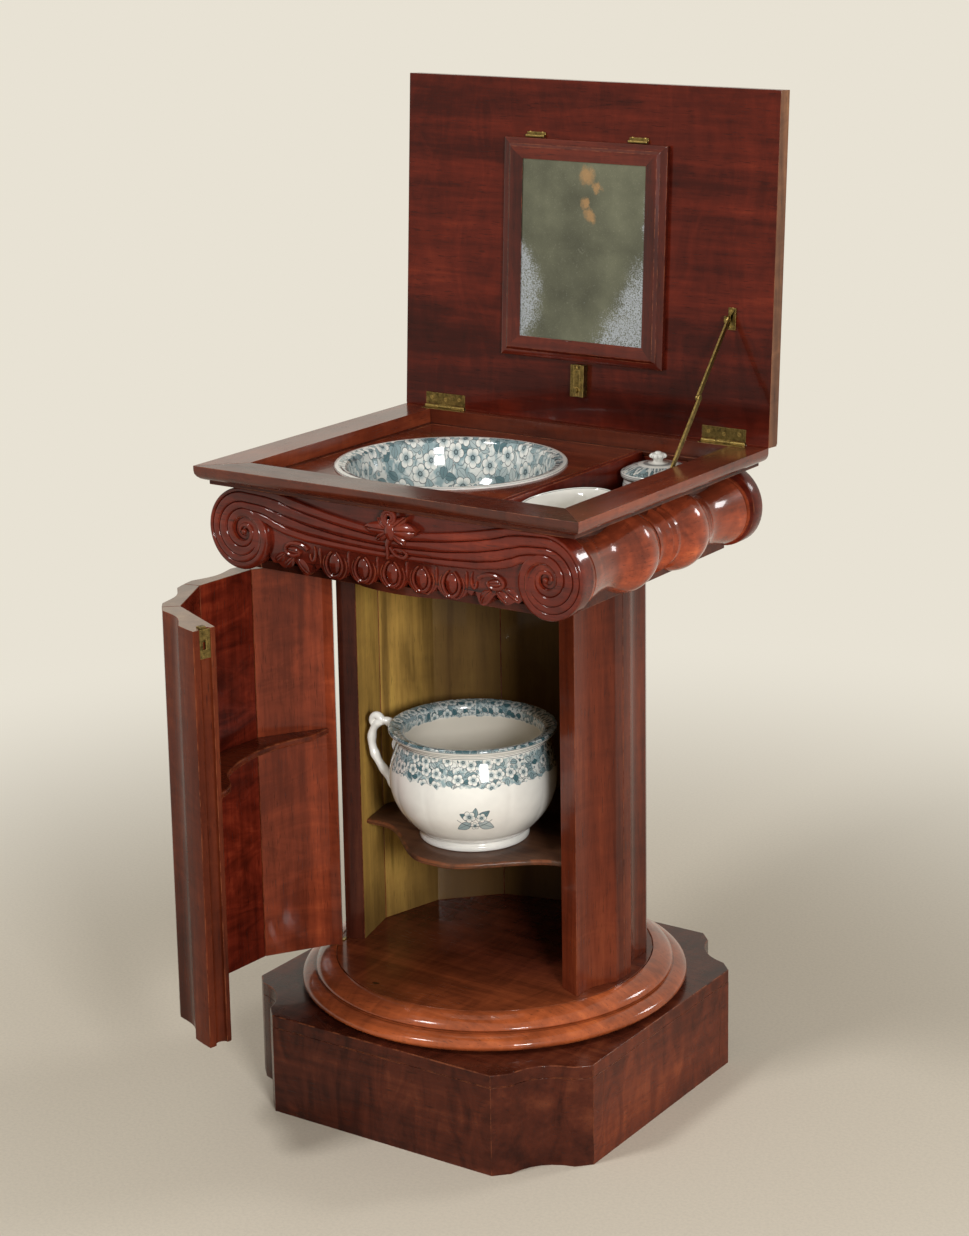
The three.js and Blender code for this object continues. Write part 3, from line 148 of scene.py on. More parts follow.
def a_colour(label, description, red, green, blue):
    return bpy.props.FloatVectorProperty(name=label, description=description,
                                         default=srgb(red, green, blue)[:3], min=0, max=1, subtype="COLOR")


class WashstandSizes(bpy.types.PropertyGroup):
    """Sizes of the carving, the edges and the light. The frame holds the sizes of the pieces."""

    edge_softness: a_length("Edge softness", "Width of a usual rubbed edge", 0.0008)
    flute_depth: a_length("Flute depth", "Depth of the column's flutes", 0.010)
    shelf_nosing: a_length("Shelf nosing", "Radius of the cupboard shelf's front edge", 0.0030)
    reed_depth: a_length("Reed depth", "Depth of the grooves in the carved band", 0.0026)
    scroll_swell: a_length("Scroll swell", "How far the scrolls stand out in front of the band", 0.0022)
    screw_radius: a_length("Screw radius", "Radius of the lid hinges' screw heads", 0.0029)
    small_screw_radius: a_length("Small screw radius", "Radius of the other screw heads", 0.0019)
    bead_depth: a_length("Bead depth", "Depth between the beads of the basin's rim", 0.0009)
    pot_lobe_depth: a_length("Pot lobe depth", "Depth between the lobes of the chamber pot", 0.0011)
    lamp_strength: a_share("Lamp strength", "Strength of the studio's lamps", 1.0)
    sky_fill: a_share("Sky fill", "Strength of the light from all round", 0.32)


class WashstandColours(bpy.types.PropertyGroup):
    """The middle colour of each wood, and the colours of brass, glaze, print and studio."""

    mahogany: a_colour("Mahogany", "Polished mahogany of the lid, the frame and the carving", 104, 34, 20)
    stile: a_colour("Stiles", "Browner mahogany of the stiles and the top", 114, 49, 28)
    dark: a_colour("Dark mahogany", "Mahogany of the plinth and the door's edge", 80, 35, 22)
    shelf: a_colour("Shelf", "Dry mahogany of the cupboard shelf", 90, 60, 42)
    bolster: a_colour("Bolsters", "Bright mahogany of the turned bolsters", 166, 74, 43)
    torus: a_colour("Base mouldings", "Faded mahogany of the round base mouldings", 172, 87, 48)
    deal: a_colour("Deal", "Bare deal inside the column", 188, 148, 76)
    floor: a_colour("Cupboard floor", "Mahogany of the cupboard's floor", 104, 48, 30)
    # Paler than end grain alone: a painted reflection on the door's top
    end_grain: a_colour("End grain", "Pale end grain on top of the door", 148, 116, 92)
    brass: a_colour("Brass", "Old brass of the hinges, the stay and the catches", 116, 98, 56)
    silvering: a_colour("Silvering", "Dull silvering of the looking glass", 97, 98, 80)
    glaze: a_colour("Glaze", "White glaze of the crockery", 242, 240, 233)
    print_wash: a_colour("Print, pale", "Pale wash of the printed flowers", 150, 172, 176)
    print_teal: a_colour("Print, teal", "Darker wash of the printed flowers", 74, 112, 120)
    print_ink: a_colour("Print, ink", "Lines of the printed flowers", 40, 58, 66)
    studio_floor: a_colour("Studio floor", "Floor of the studio", 218, 208, 191)
    sky: a_colour("Studio sky", "Background of the studio", 232, 226, 212)


def sizes():
    return bpy.context.scene.washstand_sizes


def tint(name, shade=1.0):
    """One of the user's colours, made darker or lighter, with its alpha."""
    colour = getattr(bpy.context.scene.washstand_colours, name)
    return (*(min(1.0, channel * shade) for channel in colour), 1.0)


# Shader nodes


class Value:
    """A socket in a node tree. Arithmetic on it adds Math nodes."""

    def __init__(self, nodes, socket):
        self.nodes = nodes
        self.socket = socket

    def math(self, operation, *others):
        return self.nodes.math(operation, self, *others)

    def beside(self, output):
        """Another output of the same node."""
        return Value(self.nodes, self.socket.node.outputs[output])

    def step(self, low, high, first=0.0, last=1.0):
        """Eases from a first to a last value as the socket goes from low to high."""
        inputs = {"Value": self, "From Min": low, "From Max": high, "To Min": first, "To Max": last}
        return self.nodes.node("ShaderNodeMapRange", {"interpolation_type": "SMOOTHSTEP"}, inputs)

    def max(self, other):
        return self.math("MAXIMUM", other)

    def min(self, other):
        return self.math("MINIMUM", other)

    def __add__(self, other):
        return self.math("ADD", other)

    def __sub__(self, other):
        return self.math("SUBTRACT", other)

    def __rsub__(self, other):
        return self.nodes.math("SUBTRACT", other, self)

    def __mul__(self, other):
        return self.math("MULTIPLY", other)

    def __truediv__(self, other):
        return self.math("DIVIDE", other)

    def __rtruediv__(self, other):
        return self.nodes.math("DIVIDE", other, self)

    def __pow__(self, other):
        return self.math("POWER", other)

    def __abs__(self):
        return self.math("ABSOLUTE")

    __radd__ = __add__
    __rmul__ = __mul__


class Nodes:
    """A node tree under way."""

    def __init__(self, tree):
        self.tree = tree

    def node(self, kind, settings=None, inputs=None, output=0):
        """Adds a node: its settings, then the values or links of its sockets. Returns one output."""
        made = self.tree.nodes.new(kind)
        for name, value in (settings or {}).items():
            if name == "stops":
                self.set_stops(made.color_ramp, value)
            else:
                setattr(made, name, value)
        for key, value in (inputs or {}).items():
            self.feed(made.inputs[key], value)
        return Value(self, made.outputs[output])

    def set_stops(self, ramp, stops):
        while len(ramp.elements) < len(stops):
            ramp.elements.new(1.0)
        for element, (place, colour) in zip(ramp.elements, stops):
            element.position = place
            element.color = colour

    def feed(self, socket, value):
        if isinstance(value, Value):
            self.tree.links.new(value.socket, socket)
        else:
            socket.default_value = value

    def math(self, operation, *values):
        return self.node("ShaderNodeMath", {"operation": operation}, dict(enumerate(values)))

    def place(self, scale=(1, 1, 1), turn=(0, 0, 0), shift=(0, 0, 0)):
        """Object coordinates, shifted, turned and scaled by a Mapping node."""
        spot = self.node("ShaderNodeTexCoord", output="Object")
        inputs = {"Vector": spot, "Location": shift, "Rotation": [degrees(a) for a in turn], "Scale": scale}
        return self.node("ShaderNodeMapping", {}, inputs)

    def axes(self, vector):
        split = self.node("ShaderNodeSeparateXYZ", {}, {0: vector})
        return [split.beside(i) for i in range(3)]

    def vector(self, x, y, z=0.0):
        return self.node("ShaderNodeCombineXYZ", {}, {0: x, 1: y, 2: z})

    def attribute(self, name):
        return self.node("ShaderNodeAttribute", {"attribute_name": name}, {}, "Fac")

    def noise(self, vector, scale, detail=2.0, roughness=0.5, distortion=0.0):
        inputs = {"Vector": vector, "Scale": scale, "Detail": detail, "Roughness": roughness,
                  "Distortion": distortion}
        return self.node("ShaderNodeTexNoise", {}, inputs, "Fac")

    def mottle(self, *settings):
        """Noise on the piece's own coordinates."""
        return self.noise(self.place(), *settings)

    def ramp(self, value, stops):
        return self.node("ShaderNodeValToRGB", {"stops": stops}, {0: value})

    def mix(self, first, second, share):
        return self.node("ShaderNodeMix", {"data_type": "RGBA"}, {0: share, 6: first, 7: second}, 2)

    def bump(self, height, distance, strength=1.0):
        inputs = {"Height": height, "Distance": distance, "Strength": strength}
        return self.node("ShaderNodeBump", {}, inputs)

    def seen(self):
        """1 for a ray that shows the background: straight, mirrored or through glass."""
        rays = self.node("ShaderNodeLightPath", output="Is Camera Ray")
        mirrored = rays.max(rays.beside("Is Glossy Ray"))
        return mirrored.max(rays.beside("Is Transmission Ray"))


class Finish(Nodes):
    """A material under way. Constants go on the shader's own sockets, patterns through nodes."""

    def __init__(self, name, constants):
        self.material = bpy.data.materials.new(name)
        self.material.use_nodes = True
        super().__init__(self.material.node_tree)
        self.shader = self.tree.nodes["Principled BSDF"]
        for socket, value in constants.items():
            self.shader.inputs[socket].default_value = value

    def done(self, **sockets):
        """Links the varying inputs and gives the finished material."""
        for name, value in sockets.items():
            self.feed(self.shader.inputs[name.replace("_", " ")], value)
        return self.material


# Finishes

GRAIN_STRETCH = {"X": (0.09, 1, 1), "Y": (1, 0.09, 1), "Z": (1, 1, 0.09)}
CROSS_STRETCH = {"X": (1, 0.25, 0.4), "Y": (0.25, 1, 0.4), "Z": (0.35, 0.35, 1)}
TONE_PLACES = (0.2, 0.43, 0.61, 0.83)
TONE_SHARES = ((0.15, 0.2, 0.27), (0.46, 0.46, 0.52), (1, 1, 1), (2.0, 2.4, 2.1))
CONTRASTS = {"mahogany": 1.1, "stile": 0.9, "dark": 1.0, "shelf": 0.9, "bolster": 1.0, "torus": 0.75,
             "deal": 0.55, "floor": 0.95, "end_grain": 0.5}
TOP_SHEEN = {"IOR": 1.5, "Specular IOR Level": 0.4, "Coat Roughness": 0.035, "Coat Weight": 0.5}
BOARD_SHEEN = {"IOR": 1.5, "Specular IOR Level": 0.11, "Coat Roughness": 0.035, "Coat Weight": 0.15}
RAIL_SHEEN = {"IOR": 1.5, "Specular IOR Level": 0.3, "Coat Roughness": 0.2, "Coat Weight": 0.35}
GLOSSY_SHEEN = {"IOR": 1.5, "Specular IOR Level": 0.13, "Coat Roughness": 0.03, "Coat Weight": 0.45}
DULL_SHEEN = {"IOR": 1.5, "Specular IOR Level": 0.07, "Coat Roughness": 0.1, "Coat Weight": 0.04}
# Brown of the deal's stains, also laid on as painted shade
DEAL_STAIN_AND_SHADE = srgb(70, 46, 22)
TARNISH = srgb(58, 54, 38)
# Near black: painted shade with dark polish in hollows, and the colour of the floor's knot
SHADE_AND_KNOT_COLOUR = srgb(12, 5, 4)
# Lighter ridges: rubbing and a painted highlight
RIDGE_RUB_AND_HIGHLIGHT_COLOUR = srgb(158, 78, 42)
EDGE_COLOUR = srgb(148, 84, 52)


def tones_of(wood, shade=1.0):
    """Ramp stops from the pores to the light flecks, round a wood's own colour."""
    middle = tint(wood, shade)
    return [(place, (*(channel * share ** CONTRASTS[wood] for channel, share in zip(middle, shares)), 1.0))
            for place, shares in zip(TONE_PLACES, TONE_SHARES)]


def wood_colour(finish, grain, tones, figure=0.35, turn=(0, 0, 0), shift=(0, 0, 0), bands=0.0):
    """Grain, cross figure and pores of a board. Gives its colour and the depth of its pores."""
    place = finish.place(GRAIN_STRETCH[grain], turn, shift)
    across = finish.place(CROSS_STRETCH[grain], turn, shift)
    broad = finish.noise(place, 13, 4, 0.55, 1.1)
    fine = finish.noise(place, 120, 3, 0.6)
    flame = finish.noise(across, 26, 3, 0.6, 1.8)
    cloud = finish.noise(finish.place((1, 1, 1), turn, shift), 5, 2, 0.5)
    tone = broad * (0.62 - figure / 2) + fine * 0.2 + flame * (figure / 2 + 0.02) + cloud * 0.2
    if bands:
        tone = tone + (finish.noise(place, 7, 1, 0.5) - 0.5) * bands
    tone = (tone - 0.5) * 1.5 + 0.5
    pores = finish.noise(place, 620, 1, 0.5).step(0.62, 0.74)
    colour = finish.ramp(tone, tones)
    return finish.mix(colour, tones[0][1], pores * 0.55), pores


def worn_and_shaded_colour(finish, colour):
    """Painted shade and dark polish in the hollows, painted highlight and rubbing on ridges, rubbed edges."""
    hollow = finish.attribute("hollow")
    patch = finish.mottle(60, 3, 0.7)
    # Painted shade, with some dark polish, in the hollows
    colour = finish.mix(colour, SHADE_AND_KNOT_COLOUR, hollow.step(0.06, 0.6) * 0.92)
    # Ridges lighter in patches: rubbing and a painted highlight
    proud = (hollow * -1).step(0.12, 0.9) * patch.step(0.35, 0.7)
    colour = finish.mix(colour, RIDGE_RUB_AND_HIGHLIGHT_COLOUR, proud * 0.4)
    lightened = finish.attribute("worn") * patch.step(0.4, 0.62)
    return finish.mix(colour, EDGE_COLOUR, lightened * 0.5)


def polished(name, grain, wood="mahogany", shade=1.0, figure=0.35, roughness=0.16, turn=(0, 0, 0),
             shift=(0, 0, 0), sheen=BOARD_SHEEN, bands=0.0, lightened=None, knot=None):
    """French polished wood with its grain along one axis. It may be lighter towards the front or have a knot."""
    finish = Finish(name, sheen)
    colour, pores = wood_colour(finish, grain, tones_of(wood, shade), figure, turn, shift, bands)
    if lightened:
        _, depth, _ = finish.axes(finish.place())
        uneven = finish.mottle(14, 3, 0.6) * 0.05 - 0.025
        front, _ = wood_colour(finish, grain, tones_of("torus", 0.75), figure, turn, shift)
        colour = finish.mix(colour, front, (depth + uneven).step(*lightened) * 0.8)
    if knot:
        x, y, _ = finish.axes(finish.place(shift=(-knot[0], -knot[1], 0)))
        away = (x * x + y * y * 2.5 + finish.mottle(260, 2, 0.6) * 0.00003) ** 0.5
        colour = finish.mix(colour, SHADE_AND_KNOT_COLOUR, away.step(0.0045, 0.0075, 0.85, 0.0))
    smear = finish.mottle(9, 3, 0.6)
    rough = smear.step(0.35, 0.75, roughness, roughness + 0.14) + pores * 0.08
    ripple = finish.noise(finish.place(GRAIN_STRETCH[grain]), 70, 2) * 0.5 + pores * -0.3
    return finish.done(Base_Color=worn_and_shaded_colour(finish, colour), Roughness=rough,
                       Normal=finish.bump(ripple, 0.00035, 0.35))


def stave_wood(name, wood):
    """A stave's fluted outside is polished mahogany; its deal inside is stained and has painted shade at the back
    right.
    """
    finish = Finish(name, BOARD_SHEEN)
    outside = 1 - finish.attribute("inside")
    colour, pores = wood_colour(finish, "Z", tones_of(wood, 0.86), 0.2)
    deal, _ = wood_colour(finish, "Z", tones_of("deal"), 0.15)
    stain = finish.noise(finish.place((1, 1, 0.22)), 15, 4, 0.6, 0.6)
    run = finish.noise(finish.place((1, 1, 0.05)), 46, 3, 0.65)
    right, back, low = finish.axes(finish.place())
    # Darker towards the foot of the column
    darker_foot = (low + stain * 0.16).step(0.24, 0.34, 1.0, 0.0)
    # Painted shade that darkens the deal towards the back and the right
    corner = (right + back + stain * 0.07).step(-0.1, 0.0)
    # Stains, streaks, darkening towards the foot, and the painted shade
    for mask, strength in ((stain.step(0.5, 0.72), 0.6), (run.step(0.56, 0.7), 0.5), (darker_foot, 0.55),
                           (corner, 0.82)):
        deal = finish.mix(deal, DEAL_STAIN_AND_SHADE, mask * strength)
    rough = outside.step(0, 1, 0.5, 0.2) + pores * 0.08
    ripple = finish.noise(finish.place(GRAIN_STRETCH["Z"]), 70, 2)
    return finish.done(Base_Color=finish.mix(deal, worn_and_shaded_colour(finish, colour), outside), Roughness=rough,
                       Normal=finish.bump(ripple, 0.0004, 0.3))


def aged_brass(name):
    """Dull old brass, greener and rougher in patches, bright where it is rubbed."""
    finish = Finish(name, {"Metallic": 1.0})
    patch = finish.mottle(190, 4, 0.65)
    speck = finish.mottle(900, 2, 0.6)
    tones = [(0.3, tint("brass", 0.35)), (0.5, tint("brass")), (0.7, tint("brass", 1.7))]
    colour = finish.ramp(patch, tones)
    colour = finish.mix(colour, TARNISH, speck.step(0.54, 0.68) * 0.6)
    colour = finish.mix(colour, tint("brass", 3.0), finish.attribute("worn") * 0.6)
    rough = patch.step(0.3, 0.7, 0.5, 0.32)
    return finish.done(Base_Color=colour, Roughness=rough, Normal=finish.bump(speck, 0.0002, 0.3))


CREAM_GLAZE = srgb(226, 218, 202)
MM = 1000
PETALS = 5
# How far apart the strewn flowers lie, in millimetres
BASIN_PITCH = 31
POT_PITCH = 17
JAR_PITCH = 12.5
DISH_PITCH = 15


def thin_line(distance, width):
    """1 on a line where a distance passes through nought, and 0 off it."""
    return abs(distance).step(0.35 * width, width, 1.0, 0.0)


def within(margin, soft=0.25):
    """1 where a margin is above nought."""
    return margin.step(0, soft)


def lay_over(shade, ink, motif):
    """Lays a motif's shape, wash and lines over what is printed so far."""
    shape, wash, line = motif
    return shade * (1 - shape) + wash * shape, (ink * (1 - shape)).max(line)


def blossom(x, y, size, turn):
    """A round flower with notched petals, fine veins and a dotted eye, in millimetres from its middle."""
    radius = (x * x + y * y) ** 0.5
    angle = y.math("ARCTAN2", x) + turn
    wave = abs((angle * (PETALS / 2)).math("COSINE"))
    edge = (wave ** 0.6 * 0.36 + 0.64) * size
    shape = within(edge - radius)
    veins = thin_line((angle * (PETALS * 2)).math("SINE") * radius, 0.07 * size)
    veins = veins * radius.step(0.3, 0.55 * size) * 0.45
    seams = thin_line(wave * radius, 0.09 * size) * radius.step(0.15 * size, 0.3 * size)
    eye = thin_line(radius - 0.2 * size, 0.1 * size).max(within(0.07 * size - radius))
    line = thin_line(edge - radius, 0.075 * size).max((seams * 0.8).max(eye))
    wash = radius.step(0.15 * size, 0.75 * size, 0.5, 0.04)
    return shape, wash, line.max(veins) * (radius - edge).step(0, 0.6, 1, 0)


def leaf_print(x, y, angle, length, width, tone=0.75):
    """A pointed oval leaf from its foot, with a middle vein and side veins."""
    cos, sin = math.cos(degrees(angle)), math.sin(degrees(angle))
    along = (x * cos + y * sin) / length
    across = y * cos - x * sin
    belly = (along.min(1.0).max(0.0) ** 0.8 * math.pi).math("SINE")
    margin = belly * width - abs(across)
    shape = within(margin, 0.3)
    middle = thin_line(across, 0.35) * shape
    ribs = ((along * length - abs(across) * 0.9) * 2.6).math("SINE")
    ribs = ribs.step(0.72, 0.95) * shape * 0.45
    line = (thin_line(margin, 0.5) * belly.step(0.03, 0.12)).max(middle)
    return shape, ribs * -0.4 + tone, line.max(ribs)


def strewn_berry(x, y, pitch, luck, chance):
    margin = (luck * 0.5 + 0.6) * (pitch * 0.2) - (x * x + y * y) ** 0.5
    shape = within(margin)
    return shape, shape * 0.5, thin_line(margin, 0.45)


def strewn_leaf(x, y, pitch, luck, chance):
    turn = luck * 2 * math.pi
    cos, sin = turn.math("COSINE"), turn.math("SINE")
    along = x * cos + y * sin + 0.42 * pitch
    shape, _, line = leaf_print(along, y * cos - x * sin, 0, 0.86 * pitch, 0.27 * pitch)
    return shape, chance * 0.7 + 0.3, line


def strewn_flower(x, y, pitch, luck, chance):
    shape, wash, line = blossom(x, y, 0.44 * pitch, luck * 2 * math.pi)
    keep = chance.step(0.24, 0.26)
    return shape * keep, wash, line * keep


# Each kind of motif, with its cells to a pitch and the shift of its cells
STREWN_MOTIFS = ((strewn_berry, 2.3, 5.2), (strewn_leaf, 1.45, 2.6), (strewn_flower, 1.0, 0.0))


def strewn(finish, x, y, pitch):
    """Flowers, leaves, berries and tendrils strewn over a surface, for millimetres across and along it."""
    u, v = x / pitch, y / pitch
    haze = finish.noise(finish.vector(u, v, 3.7), 1.1, 3, 0.6)
    stipple = finish.noise(finish.vector(x, y, 1.3), 2.4, 1, 0.5)
    shade = haze.step(0.42, 0.6, 0.12, 0.62)
    tendril = finish.noise(finish.vector(u, v, 8.1), 1.7, 1, 0.4)
    ink = (thin_line(tendril - 0.5, 0.022) * 0.75).max(stipple.step(0.64, 0.7) * 0.35)
    for motif, scale, shift in STREWN_MOTIFS:
        spot = finish.vector(u * scale + shift, v * scale + shift)
        cell = finish.node("ShaderNodeTexVoronoi", {"voronoi_dimensions": "2D", "feature": "F1"},
                           {"Vector": spot, "Scale": 1.0, "Randomness": 0.62})
        off = finish.node("ShaderNodeVectorMath", {"operation": "SUBTRACT"},
                          {0: spot, 1: cell.beside("Position")})
        across, along, _ = finish.axes(off)
        luck, chance, _ = finish.axes(cell.beside("Color"))
        size = pitch / scale
        shade, ink = lay_over(shade, ink, motif(across * size, along * size, size, luck, chance))
    return shade, ink


def clouded_glaze(finish):
    """White glaze with a faint cloudiness."""
    cloud = finish.mottle(22, 3, 0.6)
    return finish.ramp(cloud, [(0.3, tint("glaze", 0.92)), (0.7, tint("glaze", 1.05))])


def printed(finish, shade, ink, zone=1.0, base=None):
    """Glaze with what is printed on it inside a zone."""
    colour = base or clouded_glaze(finish)
    colour = finish.mix(colour, tint("print_wash"), (shade * 2).min(1.0) * zone)
    colour = finish.mix(colour, tint("print_teal"), shade.step(0.5, 0.95) * zone)
    return finish.mix(colour, tint("print_ink"), ink * zone * 0.88)


GLAZE_SHEEN = {"IOR": 1.5, "Specular IOR Level": 0.5, "Coat Weight": 0.5, "Coat Roughness": 0.02,
               "Roughness": 0.1}


def round_piece(finish, centre):
    """Places on a turned piece in millimetres: x and y from its axis, radius, height and profile length."""
    x, y, z = finish.axes(finish.place(shift=(-centre[0], -centre[1], 0)))
    radius = (x * x + y * y) ** 0.5
    return x, y, radius, z * MM, finish.attribute("arc") * MM


def between(value, low, high, soft=0.4):
    """1 between two lengths."""
    return value.step(low - soft, low) * value.step(high, high + soft, 1.0, 0.0)


def rings(distance, places):
    """Thin lines at some distances, each with its width."""
    return reduce(Value.max, (thin_line(distance - place, width) for place, width in places))


def basin_glaze(name):
    """A basin whose inside is strewn with flowers, with a line round its rim."""
    finish = Finish(name, GLAZE_SHEEN)
    x, y, radius, _, arc = round_piece(finish, BASIN_CENTRE)
    reach = arc / radius
    shade, ink = strewn(finish, x * reach, y * reach, BASIN_PITCH)
    edge = BASIN_ARC * MM
    bowl = between(arc, 0, edge - 7.5)
    ink = (ink * bowl).max(thin_line(arc - (edge - 1.8), 0.5))
    return finish.done(Base_Color=printed(finish, shade * bowl, ink, between(arc, 0, edge)))


# The pot's print in millimetres: bands from the rim's edge along its profile, lines with their widths
POT_SHOULDER_BAND = (-56, -17)
POT_RIM_BAND = (1.4, 37)
POT_LINES = ((0.6, 0.7), (2.4, 0.5), (-15.5, 0.6), (-13.4, 0.4))
# The sprig's leaves: foot across and up, angle, length, width, tone
SPRIG_LEAVES = ((-4, -2, 205, 21, 5.6, 0.5), (4, -1, -22, 24, 6.2, 0.4), (-1, 2, 152, 20, 5.2, 0.9),
                (3, 3, 38, 20, 5.0, 0.85), (0, 5, 84, 15, 3.6, 0.7))
# The sprig's flowers: middle across and up, radius, turn
SPRIG_FLOWERS = ((-6.5, 7, 8.2, 0.4), (8.5, 5.5, 6.6, 1.3), (0.5, -5.5, 5.6, 2.1))


def sprig(across, up):
    """The motifs of the pot's sprig, for millimetres from its middle."""
    leaves = [leaf_print(across - x, up - z, *shape) for x, z, *shape in SPRIG_LEAVES]
    return leaves + [blossom(across - x, up - z, *shape) for x, z, *shape in SPRIG_FLOWERS]


def pot_glaze(name):
    """A pot with a printed rim and shoulder, and a sprig on its belly towards the viewer."""
    finish = Finish(name, GLAZE_SHEEN)
    x, y, _, height, arc = round_piece(finish, POT_CENTRE)
    sin, cos = math.sin(POT_SEAM), math.cos(POT_SEAM)
    turn = (x * sin - y * cos).math("ARCTAN2", x * -cos - y * sin)
    across = turn * (0.1 * MM)
    shade, ink = strewn(finish, across, arc, POT_PITCH)
    ragged = finish.noise(finish.vector(across, 0.0, 0.0), 0.06, 2, 0.6)
    past_rim = arc - POT_RIM_ARC * MM
    shoulder = between(past_rim, *POT_SHOULDER_BAND, 0.5)
    shoulder = shoulder * (past_rim + 38 + ragged * 24).step(-0.5, 0.5)
    rim = between(past_rim, *POT_RIM_BAND, 0.5)
    rim = rim * (past_rim - 26 - ragged * 12).step(0, 2, 1, 0)
    zone = shoulder.max(rim)
    shade, ink = shade * zone + rim * 0.12, ink * zone
    ink = ink.max(rings(past_rim, POT_LINES)).max(thin_line(arc - POT_FOOT_ARC * MM, 0.5))
    side = turn * (POT_RADIUS * MM) - 5
    rise = height - (POT_FOOT + 0.050) * MM
    for motif in sprig(side, rise):
        shade, ink = lay_over(shade, ink, motif)
    stem = thin_line(rise + 7 - side * side * 0.02, 0.7) * between(side, -22, 22)
    ink = ink.max(stem * between(rise, -14, 4))
    base = finish.mix(clouded_glaze(finish), CREAM_GLAZE, past_rim.step(30, 36) * 0.8)
    return finish.done(Base_Color=printed(finish, shade, ink, base=base))


# The jar's, its cover's and the dish's print in millimetres: bands, and lines with their widths
JAR_BAND = (8, 48)
JAR_LINES = ((5, 0.5), (52, 0.5), (55, 0.5))
COVER_BAND = (6, 13.5)
COVER_LINES = ((1.6, 0.5), (4.2, 0.5), (15.2, 0.5))
DISH_BAND = (-44, -5)
DISH_LINES = ((-2.4, 0.5), (2.0, 0.5), (3.6, 0.5))


def jar_glaze(name):
    """The jar and its cover: a printed band round the belly and rings on the cover."""
    finish = Finish(name, GLAZE_SHEEN)
    x, y, _, height, _ = round_piece(finish, JAR_CENTRE)
    turn = y.math("ARCTAN2", x * -1)
    shade, ink = strewn(finish, turn * (0.046 * MM), height, JAR_PITCH)
    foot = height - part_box("jar_body")[0].z * MM
    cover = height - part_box("jar_lid")[0].z * MM
    band = between(foot, *JAR_BAND).max(between(cover, *COVER_BAND))
    lines = rings(foot, JAR_LINES).max(rings(cover, COVER_LINES))
    ink = (ink * band).max(lines * 0.8)
    petals = thin_line((turn * KNOB_PETALS).math("SINE"), 0.3) * between(cover, 21, 26)
    ink = ink.max(petals * between(cover, 17.6, 40) * 0.7)
    return finish.done(Base_Color=printed(finish, shade * band, ink))


def dish_glaze(name):
    """The soap dish: plain inside, with a line at its rim and flowers outside."""
    finish = Finish(name, GLAZE_SHEEN)
    x, y, _, _, arc = round_piece(finish, DISH_CENTRE)
    shade, ink = strewn(finish, y.math("ARCTAN2", x) * (0.06 * MM), arc, DISH_PITCH)
    past_rim = arc - DISH_RIM_ARC * MM
    band = between(past_rim, *DISH_BAND)
    lines = rings(past_rim, DISH_LINES)
    return finish.done(Base_Color=printed(finish, shade * band, (ink * band).max(lines * 0.8)))


MIRROR_SHEEN = {"IOR": 1.5, "Specular IOR Level": 0.3, "Coat Weight": 0.25, "Coat Roughness": 0.02}
GRIT_COLOUR = srgb(132, 132, 116)
BROWN_STAIN = srgb(176, 136, 90)
BARE_GLASS = srgb(172, 178, 184)
GLASS_LOW, GLASS_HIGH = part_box("mirror_glass")
BROWN_PATCHES = [(0.52, 0.905, 0.072), (0.60, 0.85, 0.045), (0.52, 0.765, 0.052), (0.555, 0.705, 0.062)]


def old_mirror(name):
    """Old silvering: grey-green glass, brown stains, and corners where the silver has gone."""
    finish = Finish(name, MIRROR_SHEEN)
    place = finish.place()
    x, _, z = finish.axes(place)
    s = (x - GLASS_LOW.x) / (GLASS_HIGH.x - GLASS_LOW.x)
    t = (z - GLASS_LOW.z) / (GLASS_HIGH.z - GLASS_LOW.z)
    wobble = finish.noise(place, 44, 5, 0.75) - 0.5
    speckle = finish.noise(place, 560, 3, 0.8)
    cloud = finish.noise(place, 16, 4, 0.6)
    tones = [(0.3, tint("silvering", 0.67)), (0.5, tint("silvering")), (0.7, tint("silvering", 1.38))]
    grit = finish.noise(place, 300, 2, 0.6).step(0.6, 0.75)
    shade = finish.mix(finish.ramp(cloud, tones), GRIT_COLOUR, grit * 0.4)
    patches = []
    for centre_s, centre_t, size in BROWN_PATCHES:
        away = ((s - centre_s) ** 2.0 + (t - centre_t) * (t - centre_t) * 1.4) ** 0.5
        patches.append((away + wobble * 0.15).step(size * 0.4, size, 1.0, 0.0))
    shade = finish.mix(shade, BROWN_STAIN, reduce(Value.max, patches) * 0.75)
    left = (s + (t - 0.25) * (t - 0.25) * 1.6 + wobble * 0.22).step(0.1, 0.26, 1.0, 0.0)
    left = left * (t + wobble * 0.1).step(0.5, 0.6, 1.0, 0.0)
    right = ((1 - s) + t * 0.8 + wobble * 0.26).step(0.32, 0.52, 1.0, 0.0)
    edge = ((1 - s) + wobble * 0.12).step(0.0, 0.05, 1.0, 0.0) * t.step(0.82, 0.9, 1.0, 0.0)
    few = finish.noise(place, 70, 2, 0.7).step(0.72, 0.8)
    gone = left.max(right).max(edge).max(few)
    bright = (speckle + gone * 0.16).step(0.58, 0.66) * gone
    return finish.done(Base_Color=finish.mix(shade, BARE_GLASS, bright * 0.9),
                       Roughness=speckle.step(0.4, 0.7, 0.12, 0.3),
                       Metallic=bright.step(0.0, 1.0, 0.25, 0.1))


